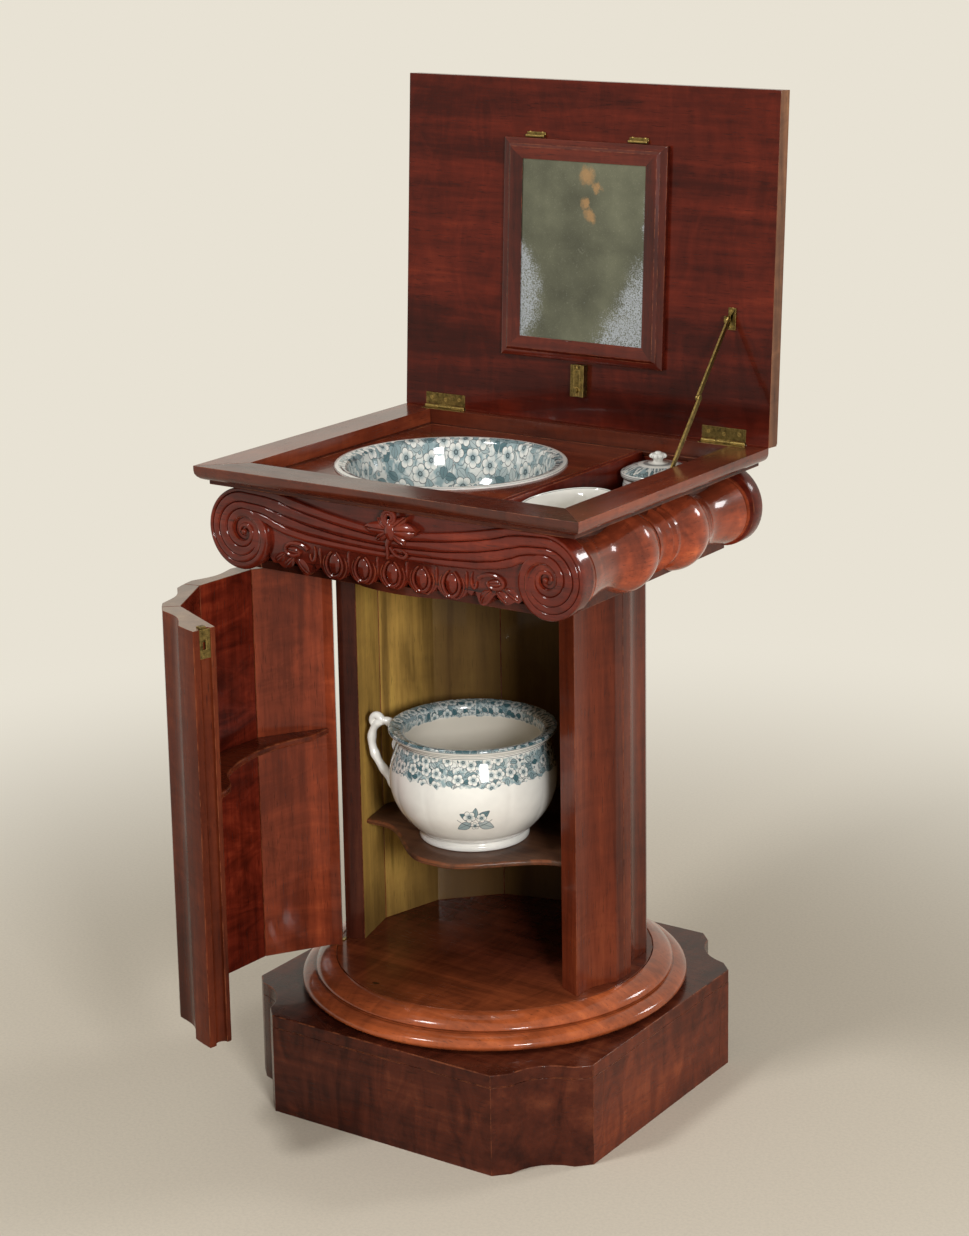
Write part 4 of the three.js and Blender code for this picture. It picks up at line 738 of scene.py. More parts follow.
WOODS = {"mahogany_x": {"grain": "X"}, "mahogany_y": {"grain": "Y"},
         "lid_wood": {"grain": "X", "shade": 0.84, "figure": 0.3, "roughness": 0.15,
                      "shift": (0.4, 0, 0.13), "bands": 0.3},
         "lid_edge_wood": {"grain": "Z", "wood": "shelf", "shade": 2.4, "figure": 0.3, "sheen": DULL_SHEEN},
         "frame_wood": {"grain": "Z", "shade": 0.62, "figure": 0.2, "roughness": 0.12,
                        "sheen": GLOSSY_SHEEN},
         "frame_rail_wood": {"grain": "X", "shade": 0.66, "figure": 0.2, "roughness": 0.12,
                             "sheen": GLOSSY_SHEEN},
         "door_wood": {"grain": "Z", "wood": "stile", "shade": 0.72, "figure": 0.3, "shift": (0.1, 0.5, 0),
                       "sheen": DULL_SHEEN},
         "flame_door_wood": {"grain": "Z", "shade": 1.0, "figure": 0.75, "turn": (0, 24, 0)},
         # Much brighter than the stiles' wood: painted light on the hinge stave's inside
         "plain_door_wood": {"grain": "Z", "wood": "stile", "shade": 1.55, "figure": 0.4, "roughness": 0.14,
                             "shift": (0.3, 0, 0.2)},
         "bolster_wood": {"grain": "Y", "wood": "bolster", "figure": 0.45, "roughness": 0.12,
                          "sheen": GLOSSY_SHEEN},
         # Darker than the side rails' wood: painted dark reflection of the lid on the front and back rails
         "top_wood": {"grain": "X", "wood": "stile", "shade": 0.62, "figure": 0.3, "roughness": 0.2,
                      "shift": (0, 0.2, 0), "sheen": RAIL_SHEEN},
         "top_side_wood": {"grain": "Y", "wood": "stile", "shade": 1.15, "figure": 0.3, "roughness": 0.16,
                           "sheen": RAIL_SHEEN},
         "board_wood": {"grain": "X", "wood": "stile", "figure": 0.3, "roughness": 0.14,
                        "shift": (0, 0.2, 0)},
         # End grain on the door's top, made paler as a painted reflection
         "end_wood": {"grain": "Z", "wood": "end_grain", "figure": 0.2, "roughness": 0.3,
                      "sheen": TOP_SHEEN},
         "shelf_wood": {"grain": "X", "wood": "shelf", "shade": 1.15, "figure": 0.3, "roughness": 0.3},
         "door_shelf_wood": {"grain": "X", "wood": "stile", "figure": 0.3},
         "carved_mahogany": {"grain": "X", "figure": 0.25, "roughness": 0.13, "sheen": GLOSSY_SHEEN},
         "dark_mahogany_x": {"grain": "X", "wood": "dark", "figure": 0.3, "roughness": 0.2},
         "plinth_front_wood": {"grain": "X", "wood": "dark", "figure": 0.7, "roughness": 0.2,
                               "turn": (0, 18, 0)},
         "plinth_side_wood": {"grain": "Y", "wood": "stile", "shade": 0.85, "figure": 0.75,
                              "roughness": 0.22, "turn": (10, 0, 0)},
         "torus_wood": {"grain": "X", "wood": "torus", "figure": 0.4, "roughness": 0.12,
                        "sheen": GLOSSY_SHEEN},
         # Lighter towards the front
         "floor_wood": {"grain": "X", "wood": "floor", "figure": 0.5, "roughness": 0.14,
                        "lightened": (-0.02, -0.13), "knot": (-0.058, -0.171)},
         "bare_deal": {"grain": "X", "wood": "deal", "figure": 0.2, "roughness": 0.5}}
OTHER_FINISHES = {"aged_brass": aged_brass, "basin_glaze": basin_glaze, "pot_glaze": pot_glaze,
                  "jar_glaze": jar_glaze, "dish_glaze": dish_glaze, "old_mirror": old_mirror}
STAVE_WOODS = {"stave_wood": "stile", "dark_stave_wood": "dark"}
made_finishes = {}


def finish_named(name):
    """A finish, made the first time that a piece asks for it."""
    if name not in made_finishes:
        if name in WOODS:
            made_finishes[name] = polished(name, **WOODS[name])
        elif name in STAVE_WOODS:
            made_finishes[name] = stave_wood(name, STAVE_WOODS[name])
        else:
            made_finishes[name] = OTHER_FINISHES[name](name)
    return made_finishes[name]


# Meshes


def mark_hollows(bm, size):
    """Stores how hollow, above 0, or proud, below 0, the surface is at each vertex, for a groove's size."""
    layer = bm.verts.layers.float.new("hollow")
    bm.normal_update()
    for vert in bm.verts:
        total = 0.0
        for edge in vert.link_edges:
            step = edge.other_vert(vert).co - vert.co
            total += step.dot(vert.normal) / max(step.length_squared, WELD**2)
        vert[layer] = min(1.0, max(-1.0, size * total / max(len(vert.link_edges), 1)))


def make_piece(node, bm, finish, name=None, hollow=0.0, sharp=SHARP_ANGLE, weighted=False):
    """Makes a bmesh the piece that stands for a CAD node and rides on its body."""
    bmesh.ops.recalc_face_normals(bm, faces=bm.faces)
    # The hollow measure lets the finish darken the piece's hollows with painted shade
    if hollow:
        mark_hollows(bm, hollow)
    name = name or f"{node}_piece"
    mesh = bpy.data.meshes.new(name)
    bm.to_mesh(mesh)
    bm.free()
    mesh.shade_smooth()
    mesh.set_sharp_from_angle(angle=degrees(sharp))
    mesh.materials.append(finish_named(finish))
    piece = bpy.data.objects.new(name, mesh)
    bpy.context.scene.collection.objects.link(piece)
    if weighted:
        piece.modifiers.new("even shading", "WEIGHTED_NORMAL").keep_sharp = True
    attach(piece, BODY_OF[node])
    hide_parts(node)
    return piece


def bevel_edges(bm, edges, width, segments):
    """Bevels some edges and marks the new faces as worn."""
    worn = bm.faces.layers.float.new("worn")
    made = bmesh.ops.bevel(bm, geom=edges, offset=width, offset_type="OFFSET", segments=segments,
                           profile=0.5, affect="EDGES", material=-1, clamp_overlap=True)
    for face in made["faces"]:
        face[worn] = 1.0


def soften_edges(bm, width, segments=EASE_SEGMENTS, corner=CORNER_ANGLE):
    """Bevels every edge that is sharper than a corner."""
    edges = [e for e in bm.edges if e.is_manifold and e.calc_face_angle(0) > degrees(corner)]
    bevel_edges(bm, edges, width, segments)


def cad_copy(node):
    """A CAD node's solid, with its doubles merged and its flat faces whole."""
    bm = bmesh.new()
    bm.from_mesh(frame["nodes"][node].data)
    bmesh.ops.remove_doubles(bm, verts=bm.verts, dist=WELD)
    bmesh.ops.dissolve_limit(bm, angle_limit=degrees(FLAT_ANGLE), verts=bm.verts, edges=bm.edges)
    return bm


def eased(node, finish, softness=1.0, segments=EASE_SEGMENTS, screws=()):
    """A copy of a CAD node with softened, rubbed edges, and screw heads where they are given."""
    bm = cad_copy(node)
    soften_edges(bm, softness * sizes().edge_softness, segments)
    for screw in screws:
        add_screw(bm, *screw)
    return make_piece(node, bm, finish, weighted=True)


def add_part(bm, part, middle, turn):
    """Adds a bmesh to another one at a place, turned, and frees it."""
    bmesh.ops.transform(part, matrix=Matrix.Translation(middle) @ turn.to_4x4(), verts=part.verts)
    mesh = bpy.data.meshes.new("part")
    part.to_mesh(mesh)
    part.free()
    bm.from_mesh(mesh)
    bpy.data.meshes.remove(mesh)


SCREW_DEPTH = 0.0009
SCREW_SLOT = 0.0008
SCREW_SIDES = 24


def add_screw(bm, middle, normal, turn, radius):
    """A slotted screw head that stands a little proud of a face."""
    head = bmesh.new()
    bmesh.ops.create_cone(head, cap_ends=True, segments=SCREW_SIDES, radius1=radius, radius2=0.86 * radius,
                          depth=SCREW_DEPTH)
    for side in (-1, 1):
        bmesh.ops.bisect_plane(head, geom=[*head.verts, *head.edges, *head.faces],
                               plane_co=(side * SCREW_SLOT / 2, 0, 0), plane_no=(1, 0, 0))
    slot = [f for f in head.faces
            if f.normal.z > FACING and abs(f.calc_center_median().x) < SCREW_SLOT / 2]
    made = bmesh.ops.extrude_face_region(head, geom=slot)
    bmesh.ops.delete(head, geom=slot, context="FACES")
    sunk = [v for v in made["geom"] if isinstance(v, bmesh.types.BMVert)]
    bmesh.ops.translate(head, verts=sunk, vec=(0, 0, -0.7 * SCREW_DEPTH))
    worn = head.faces.layers.float.new("worn")
    for face in head.faces:
        face[worn] = 1.0
    add_part(bm, head, middle,
             normal.to_track_quat("Z", "Y").to_matrix() @ Matrix.Rotation(degrees(turn), 3, "Z"))


def refinish(piece, finish, wanted):
    """Gives the faces of a piece that are wanted another finish."""
    piece.data.materials.append(finish_named(finish))
    for face in piece.data.polygons:
        if wanted(face):
            face.material_index = len(piece.data.materials) - 1


def widest_face(node, toward):
    """The middle and the normal of the widest flat face of a node towards a direction."""
    levels = {}
    for face in frame["nodes"][node].data.polygons:
        if face.normal.dot(Vector(toward)) > FACING:
            levels.setdefault(round(face.center.dot(face.normal) * 5000), []).append(face)
    faces = max(levels.values(), key=lambda group: sum(face.area for face in group))
    area = sum(face.area for face in faces)
    return sum((face.center * face.area for face in faces), Vector()) / area, faces[0].normal.copy()


def screws_on(node, toward, places, turns, radius):
    """Screws on a node's widest face, at steps along x and up the face from its middle."""
    middle, normal = widest_face(node, toward)
    up = Vector((0, -normal.z, normal.y))
    if up.z + up.y < 0:
        up = -up
    return [(middle + Vector((x, 0, 0)) + up * z, normal, turn, radius)
            for (x, z), turn in zip(places, turns)]


def turned(profile, steps, centre=(0, 0)):
    """A profile of radius and height, spun about a vertical line."""
    bm = bmesh.new()
    arc = bm.verts.layers.float.new("arc")
    verts = [bm.verts.new((radius, 0, height)) for radius, height in profile]
    for last, vert in zip(verts, verts[1:]):
        vert[arc] = last[arc] + (vert.co - last.co).length
    edges = [bm.edges.new(pair) for pair in zip(verts, verts[1:])]
    bmesh.ops.spin(bm, geom=verts + edges, cent=(0, 0, 0), axis=(0, 0, 1), angle=2 * math.pi, steps=steps,
                   use_merge=True)
    bmesh.ops.remove_doubles(bm, verts=bm.verts, dist=WELD)
    bmesh.ops.translate(bm, verts=bm.verts, vec=(*centre, 0))
    return bm


def prism(outline, low, high):
    """An outline in x and y, extruded from a low z to a high z."""
    bm = bmesh.new()
    face = bm.faces.new([bm.verts.new((x, y, low)) for x, y in outline])
    made = bmesh.ops.extrude_face_region(bm, geom=[face])
    top = [v for v in made["geom"] if isinstance(v, bmesh.types.BMVert)]
    bmesh.ops.translate(bm, verts=top, vec=(0, 0, high - low))
    return bm


def mirrored(half):
    """A closed outline from its right half."""
    return [*half, *((-x, y) for x, y in reversed(half))]


def upright_board(outline, front, back):
    """A board from its outline in x and z, between two depths."""
    bm = prism([(x, -z) for x, z in outline], 0, back - front)
    bmesh.ops.rotate(bm, verts=bm.verts, cent=(0, 0, 0), matrix=Matrix.Rotation(-math.pi / 2, 3, "X"))
    bmesh.ops.translate(bm, verts=bm.verts, vec=(0, front, 0))
    return bm


def sized_profile(shares, radius, height, foot):
    """Radii and heights from their shares."""
    return [(r * radius, foot + z * height) for r, z in shares]


def mapped(bm, columns, rows, place):
    """Adds a grid and puts each of its vertices where place says for its two shares."""
    made = bmesh.ops.create_grid(bm, x_segments=columns, y_segments=rows, size=0.5)
    for vert in made["verts"]:
        vert.co = place(vert.co.x + 0.5, vert.co.y + 0.5)
    return made["verts"]


def backed(bm, verts, depth):
    """Carries the open edges of a relief straight back to a depth and closes them there."""
    chosen = set(verts)
    edges = [e for e in bm.edges if e.is_boundary and e.verts[0] in chosen and e.verts[1] in chosen]
    made = bmesh.ops.extrude_edge_only(bm, edges=edges)["geom"]
    for vert in (v for v in made if isinstance(v, bmesh.types.BMVert)):
        vert.co.y = depth
    bmesh.ops.holes_fill(bm, edges=[e for e in made if isinstance(e, bmesh.types.BMEdge) and e.is_boundary],
                         sides=0)


def tube(bm, path, radius, upright=(0, -1, 0), sides=10, flat=1.0):
    """A round or flattened bar along a path. The radius is a function of the share of its length."""
    steps = len(path) - 1
    up = Vector(upright)

    def place(u, v):
        i = min(int(u * steps + 0.5), steps)
        along = Vector(path[min(i + 1, steps)]) - Vector(path[max(i - 1, 0)])
        side = along.cross(up).normalized()
        top = side.cross(along).normalized()
        turn = 2 * math.pi * v
        return Vector(path[i]) + (side * math.cos(turn) * flat + top * math.sin(turn)) * radius(i / steps)

    verts = mapped(bm, steps, sides, place)
    bmesh.ops.remove_doubles(bm, verts=verts, dist=WELD)
    loops = [e for v in verts if v.is_valid for e in v.link_edges if e.is_boundary]
    bmesh.ops.holes_fill(bm, edges=list(dict.fromkeys(loops)), sides=0)


def tapering(first, last):
    """A radius that changes evenly along a bar."""
    return lambda share: first + (last - first) * share


def oval(bm, centre, half_sizes):
    """An egg or a bud, from a sphere."""
    size = Matrix.LocRotScale(Vector(centre), None, Vector(half_sizes))
    bmesh.ops.create_uvsphere(bm, u_segments=20, v_segments=12, radius=1.0, matrix=size)


# Column and door

COLUMN_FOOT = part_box("right_back_stave")[0].z
COLUMN_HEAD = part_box("right_back_stave")[1].z
COLUMN_RADIUS = 0.190
STAVE_THICKNESS = 0.027
FLUTE_PITCH = 30
FLUTE_WIDTH = 20
FLUTE_STEPS = 20
STILE_EDGE = COLUMN_RADIUS - 0.033
LOCK_EDGE = COLUMN_RADIUS - 0.030
LOCK_COVE_SHARES = [(0.3, 0), (0.33, 0.55), (0.42, 0.88), (0.55, 1), (0.68, 0.88), (0.77, 0.55), (0.8, 0)]
LOCK_COVE_DEPTH = 0.0065
HALF_SEAM = 0.00015
STILE_CLEARANCE = 0.0005
HINGE_CLEARANCE = 0.0025
LOCK_CLEARANCE = 0.00075
HINGE_ANGLE = -155
LOCK_ANGLE = -25
DOOR_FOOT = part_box("door_left_stave")[0].z
DOOR_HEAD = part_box("door_left_stave")[1].z
DOOR_PIVOT = Vector(JOINTS["door_pivots"]["pos_m"])
DOOR_SWING = JOINTS["door_pivots"]["range_deg"][0]


def flute_radius(angle):
    """The column's outside: a fillet, or a hollow between two fillets."""
    across = (angle % FLUTE_PITCH - FLUTE_PITCH / 2) / (FLUTE_WIDTH / 2)
    hollow = sizes().flute_depth * math.cos(across * math.pi / 2) if abs(across) < 1 else 0
    return COLUMN_RADIUS - hollow


def facet_radius(angle):
    """The column's twelve-sided inside."""
    return (COLUMN_RADIUS - STAVE_THICKNESS) / math.cos(degrees(angle % FLUTE_PITCH - FLUTE_PITCH / 2))


def off_edge(radius, angle, clearance):
    """A point on a stave's edge, moved square off the radial line."""
    return polar(radius, angle + math.degrees(math.asin(clearance / radius)))


def stave_outline(low, high, low_clear, high_clear, low_edge=None, high_edge=None):
    """The section of a stave between two angles, fluted outside and flat inside."""
    stops = []
    for pitch in range(math.floor(low / FLUTE_PITCH), math.ceil(high / FLUTE_PITCH) + 1):
        start = pitch * FLUTE_PITCH
        fillet = (FLUTE_PITCH - FLUTE_WIDTH) / 2
        stops += [start, start + fillet / 2]
        stops += [start + fillet + FLUTE_WIDTH * i / FLUTE_STEPS for i in range(FLUTE_STEPS + 1)]
        stops.append(start + FLUTE_PITCH - fillet / 2)
    outside = [stop for stop in stops if low < stop < high]
    inside = [] if low_edge or high_edge else [p for p in outside if p % FLUTE_PITCH == 0]
    return [
        off_edge(flute_radius(low), low, low_clear),
        *[polar(flute_radius(stop), stop) for stop in outside],
        off_edge(flute_radius(high), high, -high_clear),
        *(coved_edge(high, high_clear, high_edge) if high_edge else []),
        off_edge(high_edge or facet_radius(high), high, -high_clear),
        *[polar(facet_radius(stop), stop) for stop in reversed(inside)],
        off_edge(low_edge or facet_radius(low), low, low_clear),
    ]


def coved_edge(angle, clearance, inner):
    """The hollow that runs up the door's lock edge between its face and its lip."""
    outer = flute_radius(angle)
    return [off_edge(outer + (inner - outer) * along, angle, -clearance - LOCK_COVE_DEPTH * deep)
            for along, deep in through(LOCK_COVE_SHARES, 4)]


def mark_inside(bm):
    """Marks the faces that look towards the column's middle line."""
    inside = bm.faces.layers.float.new("inside")
    bmesh.ops.recalc_face_normals(bm, faces=bm.faces)
    for face in bm.faces:
        spot = face.calc_center_median()
        outward = Vector((spot.x, spot.y, 0)).normalized()
        face[inside] = 1.0 if face.normal.dot(outward) < -0.75 else 0.0


CARCASS_STAVES = {
    "right_stile_stave": (LOCK_ANGLE, 0, LOCK_CLEARANCE, HALF_SEAM, STILE_EDGE, None),
    "right_back_stave": (0, 60, HALF_SEAM, HALF_SEAM),
    "middle_back_stave": (60, 120, HALF_SEAM, HALF_SEAM),
    "left_back_stave": (120, 180, HALF_SEAM, HALF_SEAM),
    "left_stile_stave": (180, 360 + HINGE_ANGLE, HALF_SEAM, STILE_CLEARANCE),
}
DOOR_STAVES = {
    "door_hinge_stave": (HINGE_ANGLE, -120, HINGE_CLEARANCE, HALF_SEAM),
    "door_left_stave": (-120, -90, HALF_SEAM, HALF_SEAM),
    "door_right_stave": (-90, -60, HALF_SEAM, HALF_SEAM),
    "door_lock_stave": (-60, LOCK_ANGLE, HALF_SEAM, LOCK_CLEARANCE, None, LOCK_EDGE),
}
DOOR_INSIDES = {
    # The hinge stave's inside is brightened as painted light
    "door_hinge_stave": "plain_door_wood",
    "door_left_stave": "flame_door_wood",
    "door_right_stave": "flame_door_wood",
    "door_lock_stave": "dark_mahogany_x",
}
STAVE_SOFTNESS = 0.0006
STAVE_CORNER_ANGLE = 40
FLUTE_SHARP_ANGLE = 18
ROUND_SHARP_ANGLE = 50
BRASS_SOFTNESS = 0.4
NOSING_SEGMENTS = 5
SHELF_STEPS = 24
SHELF_GAP = 0.0004
SHELF_CORNER_GAP = 0.0006
SHELF_CORNER = 19.5
SHELF_SHOULDER = 0.132
SHELF_BULGE_HALF = 0.012
DOOR_SHELF_SHARES = [(0.55, -0.475), (0.43, -0.487), (0.34, -0.535), (0.25, -0.6), (0.13, -0.637),
                     (0, -0.65), (-0.15, -0.648), (-0.3, -0.615), (-0.45, -0.55), (-0.6, -0.455)]
DOOR_SHELF_ANGLES = (-151, -150, -120, -90)
DOOR_SHELF_END = -33
DOOR_SHELF_NOSING = 0.0032


def swing_door(bm):
    """Turns what is built shut to where the open door is at rest."""
    turn = Matrix.Rotation(degrees(DOOR_SWING), 3, "Z")
    bmesh.ops.rotate(bm, verts=bm.verts, cent=DOOR_PIVOT, matrix=turn)


def fluted_stave(stave, foot, head):
    bm = prism(stave_outline(*stave), foot, head)
    soften_edges(bm, STAVE_SOFTNESS, 1, STAVE_CORNER_ANGLE)
    mark_inside(bm)
    return bm


def make_column():
    for node, stave in CARCASS_STAVES.items():
        finish = "dark_stave_wood" if node == "left_stile_stave" else "stave_wood"
        make_piece(node, fluted_stave(stave, COLUMN_FOOT, COLUMN_HEAD), finish, sharp=FLUTE_SHARP_ANGLE)


def make_door():
    for node, stave in DOOR_STAVES.items():
        bm = fluted_stave(stave, DOOR_FOOT, DOOR_HEAD)
        swing_door(bm)
        piece = make_piece(node, bm, "door_wood", sharp=FLUTE_SHARP_ANGLE)
        marks = piece.data.attributes["inside"].data
        refinish(piece, DOOR_INSIDES[node], lambda face, marks=marks: marks[face.index].value > 0.5)
        # Tops of the staves: end grain, made paler as a painted reflection
        refinish(piece, "end_wood", lambda face: face.normal.z > FACING)
    make_door_shelf()
    for node in ("door_pivot_top", "door_pivot_bottom", "door_catch_plate", "door_catch_bolt"):
        eased(node, "aged_brass", BRASS_SOFTNESS)


def wall_point(angle):
    """A point just off the column's inside."""
    return polar(facet_radius(angle) - SHELF_GAP, angle)


def nosed_shelf(node, finish, wall, front, nosing, turn=None):
    """A shelf between a wall line and a smooth front line that has a round nosing."""
    low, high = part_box(node)
    bm = prism([*wall, *front], low.z, high.z)
    if turn:
        turn(bm)
    bmesh.ops.recalc_face_normals(bm, faces=bm.faces)
    edges = [e for e in bm.edges if e.calc_face_angle(0) > degrees(CORNER_ANGLE) and
             abs(e.verts[0].co.z - e.verts[1].co.z) < WELD]
    bevel_edges(bm, edges, nosing, NOSING_SEGMENTS)
    make_piece(node, bm, finish, sharp=ROUND_SHARP_ANGLE)


def make_shelf():
    """The cupboard's shelf, whose front swells forward between two shoulders."""
    wall = [wall_point(angle) for angle in (*range(0, 181, FLUTE_PITCH), 180 + SHELF_CORNER)]
    shoulder_y = wall[-1][1]
    low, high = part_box("cupboard_shelf")
    right = []
    for i in range(SHELF_STEPS + 1):
        t = i / SHELF_STEPS
        x = SHELF_BULGE_HALF + (SHELF_SHOULDER - SHELF_BULGE_HALF) * t
        right.append((x, shoulder_y + (low.y - shoulder_y) * ease(1 - t)))
    left = [(-x, y) for x, y in reversed(right)]
    corner = (high.x - SHELF_CORNER_GAP, shoulder_y)
    nosed_shelf("cupboard_shelf", "shelf_wood", wall, [*left, *right, corner], sizes().shelf_nosing)


def make_door_shelf():
    """The door's shelf, cut off where it nears the lock edge."""
    corner = Vector(wall_point(-60))
    end = Vector(polar(LOCK_EDGE - 2 * SHELF_GAP, LOCK_ANGLE))
    reach = 0.0
    while math.atan2(*reversed(corner.lerp(end, reach))) < degrees(DOOR_SHELF_END):
        reach += 0.01
    wall = [*map(wall_point, DOOR_SHELF_ANGLES), tuple(corner), tuple(corner.lerp(end, reach))]
    front = [(x * COLUMN_RADIUS, y * COLUMN_RADIUS) for x, y in through(DOOR_SHELF_SHARES, 5)]
    nosed_shelf("door_shelf", "door_shelf_wood", wall, front, DOOR_SHELF_NOSING, swing_door)


# Plinth and base


# Each board of the plinth with its wood, and its edges' softness and segments
PLINTH_BOARDS = (
    ("front", "plinth_front_wood", 0.5, 2),
    ("back", "plinth_front_wood", 0.5, 2),
    ("left", "plinth_side_wood", 0.5, 2),
    ("right", "plinth_side_wood", 0.5, 2),
    ("top", "plinth_front_wood", 1.5, 3),
    ("bottom", "bare_deal", 1.0, 2),
)


def make_plinth():
    for side, wood, softness, segments in PLINTH_BOARDS:
        board = eased(f"plinth_{side}_board", wood, softness, segments)
        if wood == "plinth_front_wood":
            refinish(board, "plinth_side_wood", lambda face: abs(face.normal.x) > SQUARE_ON)


TORUS_STEPS = 160
TORUS_INNER = 0.14
TORUS_HOLLOW = 0.006
FLOOR_CLEARANCE = 0.0003
FLOOR_SINK = 0.0095
LOWER_TORUS_HEAD = 0.925
# Foot of the upper moulding: shares of its radius, and heights above its joint
UPPER_TORUS_FOOT = ((0.965, 0), (0.967, 0.0006))
# The lip round the cupboard's floor: out from its seat, and up from its head
UPPER_TORUS_LIP = ((0.006, -0.0002), (0.001, 0), (0, -0.001))
LOWER_TORUS_SHARES = [(0.9, 0), (0.93, 0.005), (0.955, 0.05), (0.98, 0.17), (0.996, 0.33), (1, 0.48),
                      (0.994, 0.66), (0.975, 0.83), (0.95, 0.94), (0.93, 0.975)]
UPPER_TORUS_SHARES = [(0.985, 0.03), (1, 0.12), (1.003, 0.2), (0.998, 0.36), (0.984, 0.56), (0.962, 0.74),
                      (0.935, 0.88)]


def make_torus(node, profile):
    """A round moulding. Its profile runs from its inner foot to its inner head."""
    make_piece(node, turned([*profile, profile[0]], TORUS_STEPS), "torus_wood", hollow=TORUS_HOLLOW)


def make_base():
    low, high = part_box("base_lower_torus")
    joint = high.z
    round_edge = through(sized_profile(LOWER_TORUS_SHARES, high.x, joint - low.z, low.z), 5)
    make_torus("base_lower_torus", [(TORUS_INNER, low.z), *round_edge, (LOWER_TORUS_HEAD * high.x, joint),
                                    (TORUS_INNER, joint)])
    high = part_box("base_upper_torus")[1]
    outer = high.x / max(radius for radius, _ in UPPER_TORUS_SHARES)
    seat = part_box("cupboard_floor")[1].x + FLOOR_CLEARANCE
    sunk = high.z - FLOOR_SINK
    round_edge = through(sized_profile(UPPER_TORUS_SHARES, outer, high.z - joint, joint), 5)
    foot = [(share * outer, joint + rise) for share, rise in UPPER_TORUS_FOOT]
    lip = [(seat + out, high.z + up) for out, up in UPPER_TORUS_LIP]
    make_torus("base_upper_torus", [(TORUS_INNER, joint), *foot, *round_edge, *lip, (seat, sunk),
                                    (TORUS_INNER, sunk)])
    eased("cupboard_floor", "floor_wood", 0.75)


# Capital, top and lid

BOLSTER_SHARES = [(0, 0.82), (0.012, 0.78), (0.03, 0.72), (0.05, 0.692), (0.07, 0.69), (0.09, 0.74)]
BOLSTER_BULB_SHARES = [(0.13, 0.73), (0.15, 0.78), (0.17, 0.84), (0.23, 0.95), (0.31, 1), (0.38, 0.96),
                       (0.45, 0.86), (0.53, 0.745), (0.62, 0.7), (0.74, 0.74), (0.85, 0.815), (0.92, 0.865)]
BOLSTER_END_SHARES = [(0.925, 0.83), (0.935, 0.825), (0.937, 0.875), (0.945, 0.88), (1, 0.88)]
BOLSTER_FILLET_SHARES = [(0.095, 0.76), (0.122, 0.762), (0.124, 0.73)]
BOLSTER_STEPS = 112
BOLSTER_HOLLOW = 0.004
WAIST_REACH = 0.1855


def make_bolster(side, node):
    """A turned bolster, split along its middle, with its flat face against the case."""
    low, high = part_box(node)
    length = high.y - low.y
    rise = (high.z - low.z) / 2
    middle = (high.z + low.z) / 2
    reach = high.x - rise if side > 0 else low.x + rise
    half = [*through(BOLSTER_SHARES, 3), *BOLSTER_FILLET_SHARES, *through(BOLSTER_BULB_SHARES, 5),
            *BOLSTER_END_SHARES]
    fore = [(radius * rise, WAIST_REACH * (1 - along)) for along, radius in reversed(half)]
    rear = [(radius * rise, WAIST_REACH * (1 + along)) for along, radius in half[1:]]
    end = BOLSTER_END_SHARES[-1][1] * rise
    profile = [(0.0, 0.0), *fore, *(point for point in rear if point[1] < length), (end, length),
               (0.0, length)]
    bm = turned(profile, BOLSTER_STEPS)
    bmesh.ops.rotate(bm, verts=bm.verts, cent=(0, 0, 0), matrix=Matrix.Rotation(-math.pi / 2, 3, "X"))
    bmesh.ops.translate(bm, verts=bm.verts, vec=(reach, low.y, middle))
    flat = high.x if side < 0 else low.x
    bmesh.ops.bisect_plane(bm, geom=[*bm.verts, *bm.edges, *bm.faces], plane_co=(flat, 0, 0),
                           plane_no=(side, 0, 0), clear_inner=True)
    bmesh.ops.holes_fill(bm, edges=[e for e in bm.edges if e.is_boundary], sides=0)
    make_piece(node, bm, "bolster_wood", hollow=BOLSTER_HOLLOW)


ABACUS_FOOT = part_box("abacus_plate")[0].z
FRIEZE_FACE = -0.2005
FRIEZE_GROUND = FRIEZE_FACE + 0.0065
RELIEF_BACK = FRIEZE_GROUND + 0.0006
FRIEZE_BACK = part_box("carved_front_frieze")[1].y
SCROLL_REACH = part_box("carved_front_frieze")[1].x - 0.0513
SCROLL_RISE = 0.054
SCROLL_CENTRE = ABACUS_FOOT - SCROLL_RISE
SCROLL_SHARES = [1, 0.925, 0.85, 0.66, 0.535, 0.45, 0.335, 0.262, 0.2, 0.155, 0.115, 0.085, 0.06, 0.045]
SCROLL_LINE = through([(share,) for share in SCROLL_SHARES], 8)
SCROLL_TURN = 9
SCROLL_FADE = 0.7
BAND_SAG = 0.0255
BAND_SPRING = 0.163
BAND_LOW_LINE = [(0, 0.708), (0.04, 0.7081), (0.08, 0.709), (0.12, 0.7112), (0.15, 0.7157), (0.167, 0.7205),
                 (0.1784, 0.7262), (0.19, 0.7292), (0.2135, 0.7316)]
BAND_GROOVE_SHARES = [(0.3, 0.57, 0.79), (0.275, 0.58, 0.79), (0.243, 0.534, 0.8), (0.143, 0.487, 0.719)]
SCROLL_GROOVE_SHARES = [(0.2, 0.68), (0.18, 0.53), (0.32, 0.62), (0.46, 0.74), (0.52, 0.8), (0.56, 0.82)]
REED_SECTION = [(0, 1), (0.05, 0.6), (0.12, 0.3), (0.24, 0.1), (0.4, 0), (0.6, 0), (0.76, 0.1), (0.88, 0.3),
                (0.95, 0.6)]
BAND_STEPS = 56
SCROLL_STEPS = 18
HOLLOW_DEPTH = 0.0052
HOLLOW_QUARTER = 2.3
EYE_QUARTER = 4.5
EYE_SINK = 0.0009
EYE_DEPTH = 0.0032
EYE_SIZE = (0.0034, 0.0036, 0.0034)
EGG_FOOT = 0.6713
EGG_PITCH = 0.0415
EGG_MIDDLE = 0.6885
EGG_COUNT = 5
EGG_ARCH = 0.0115
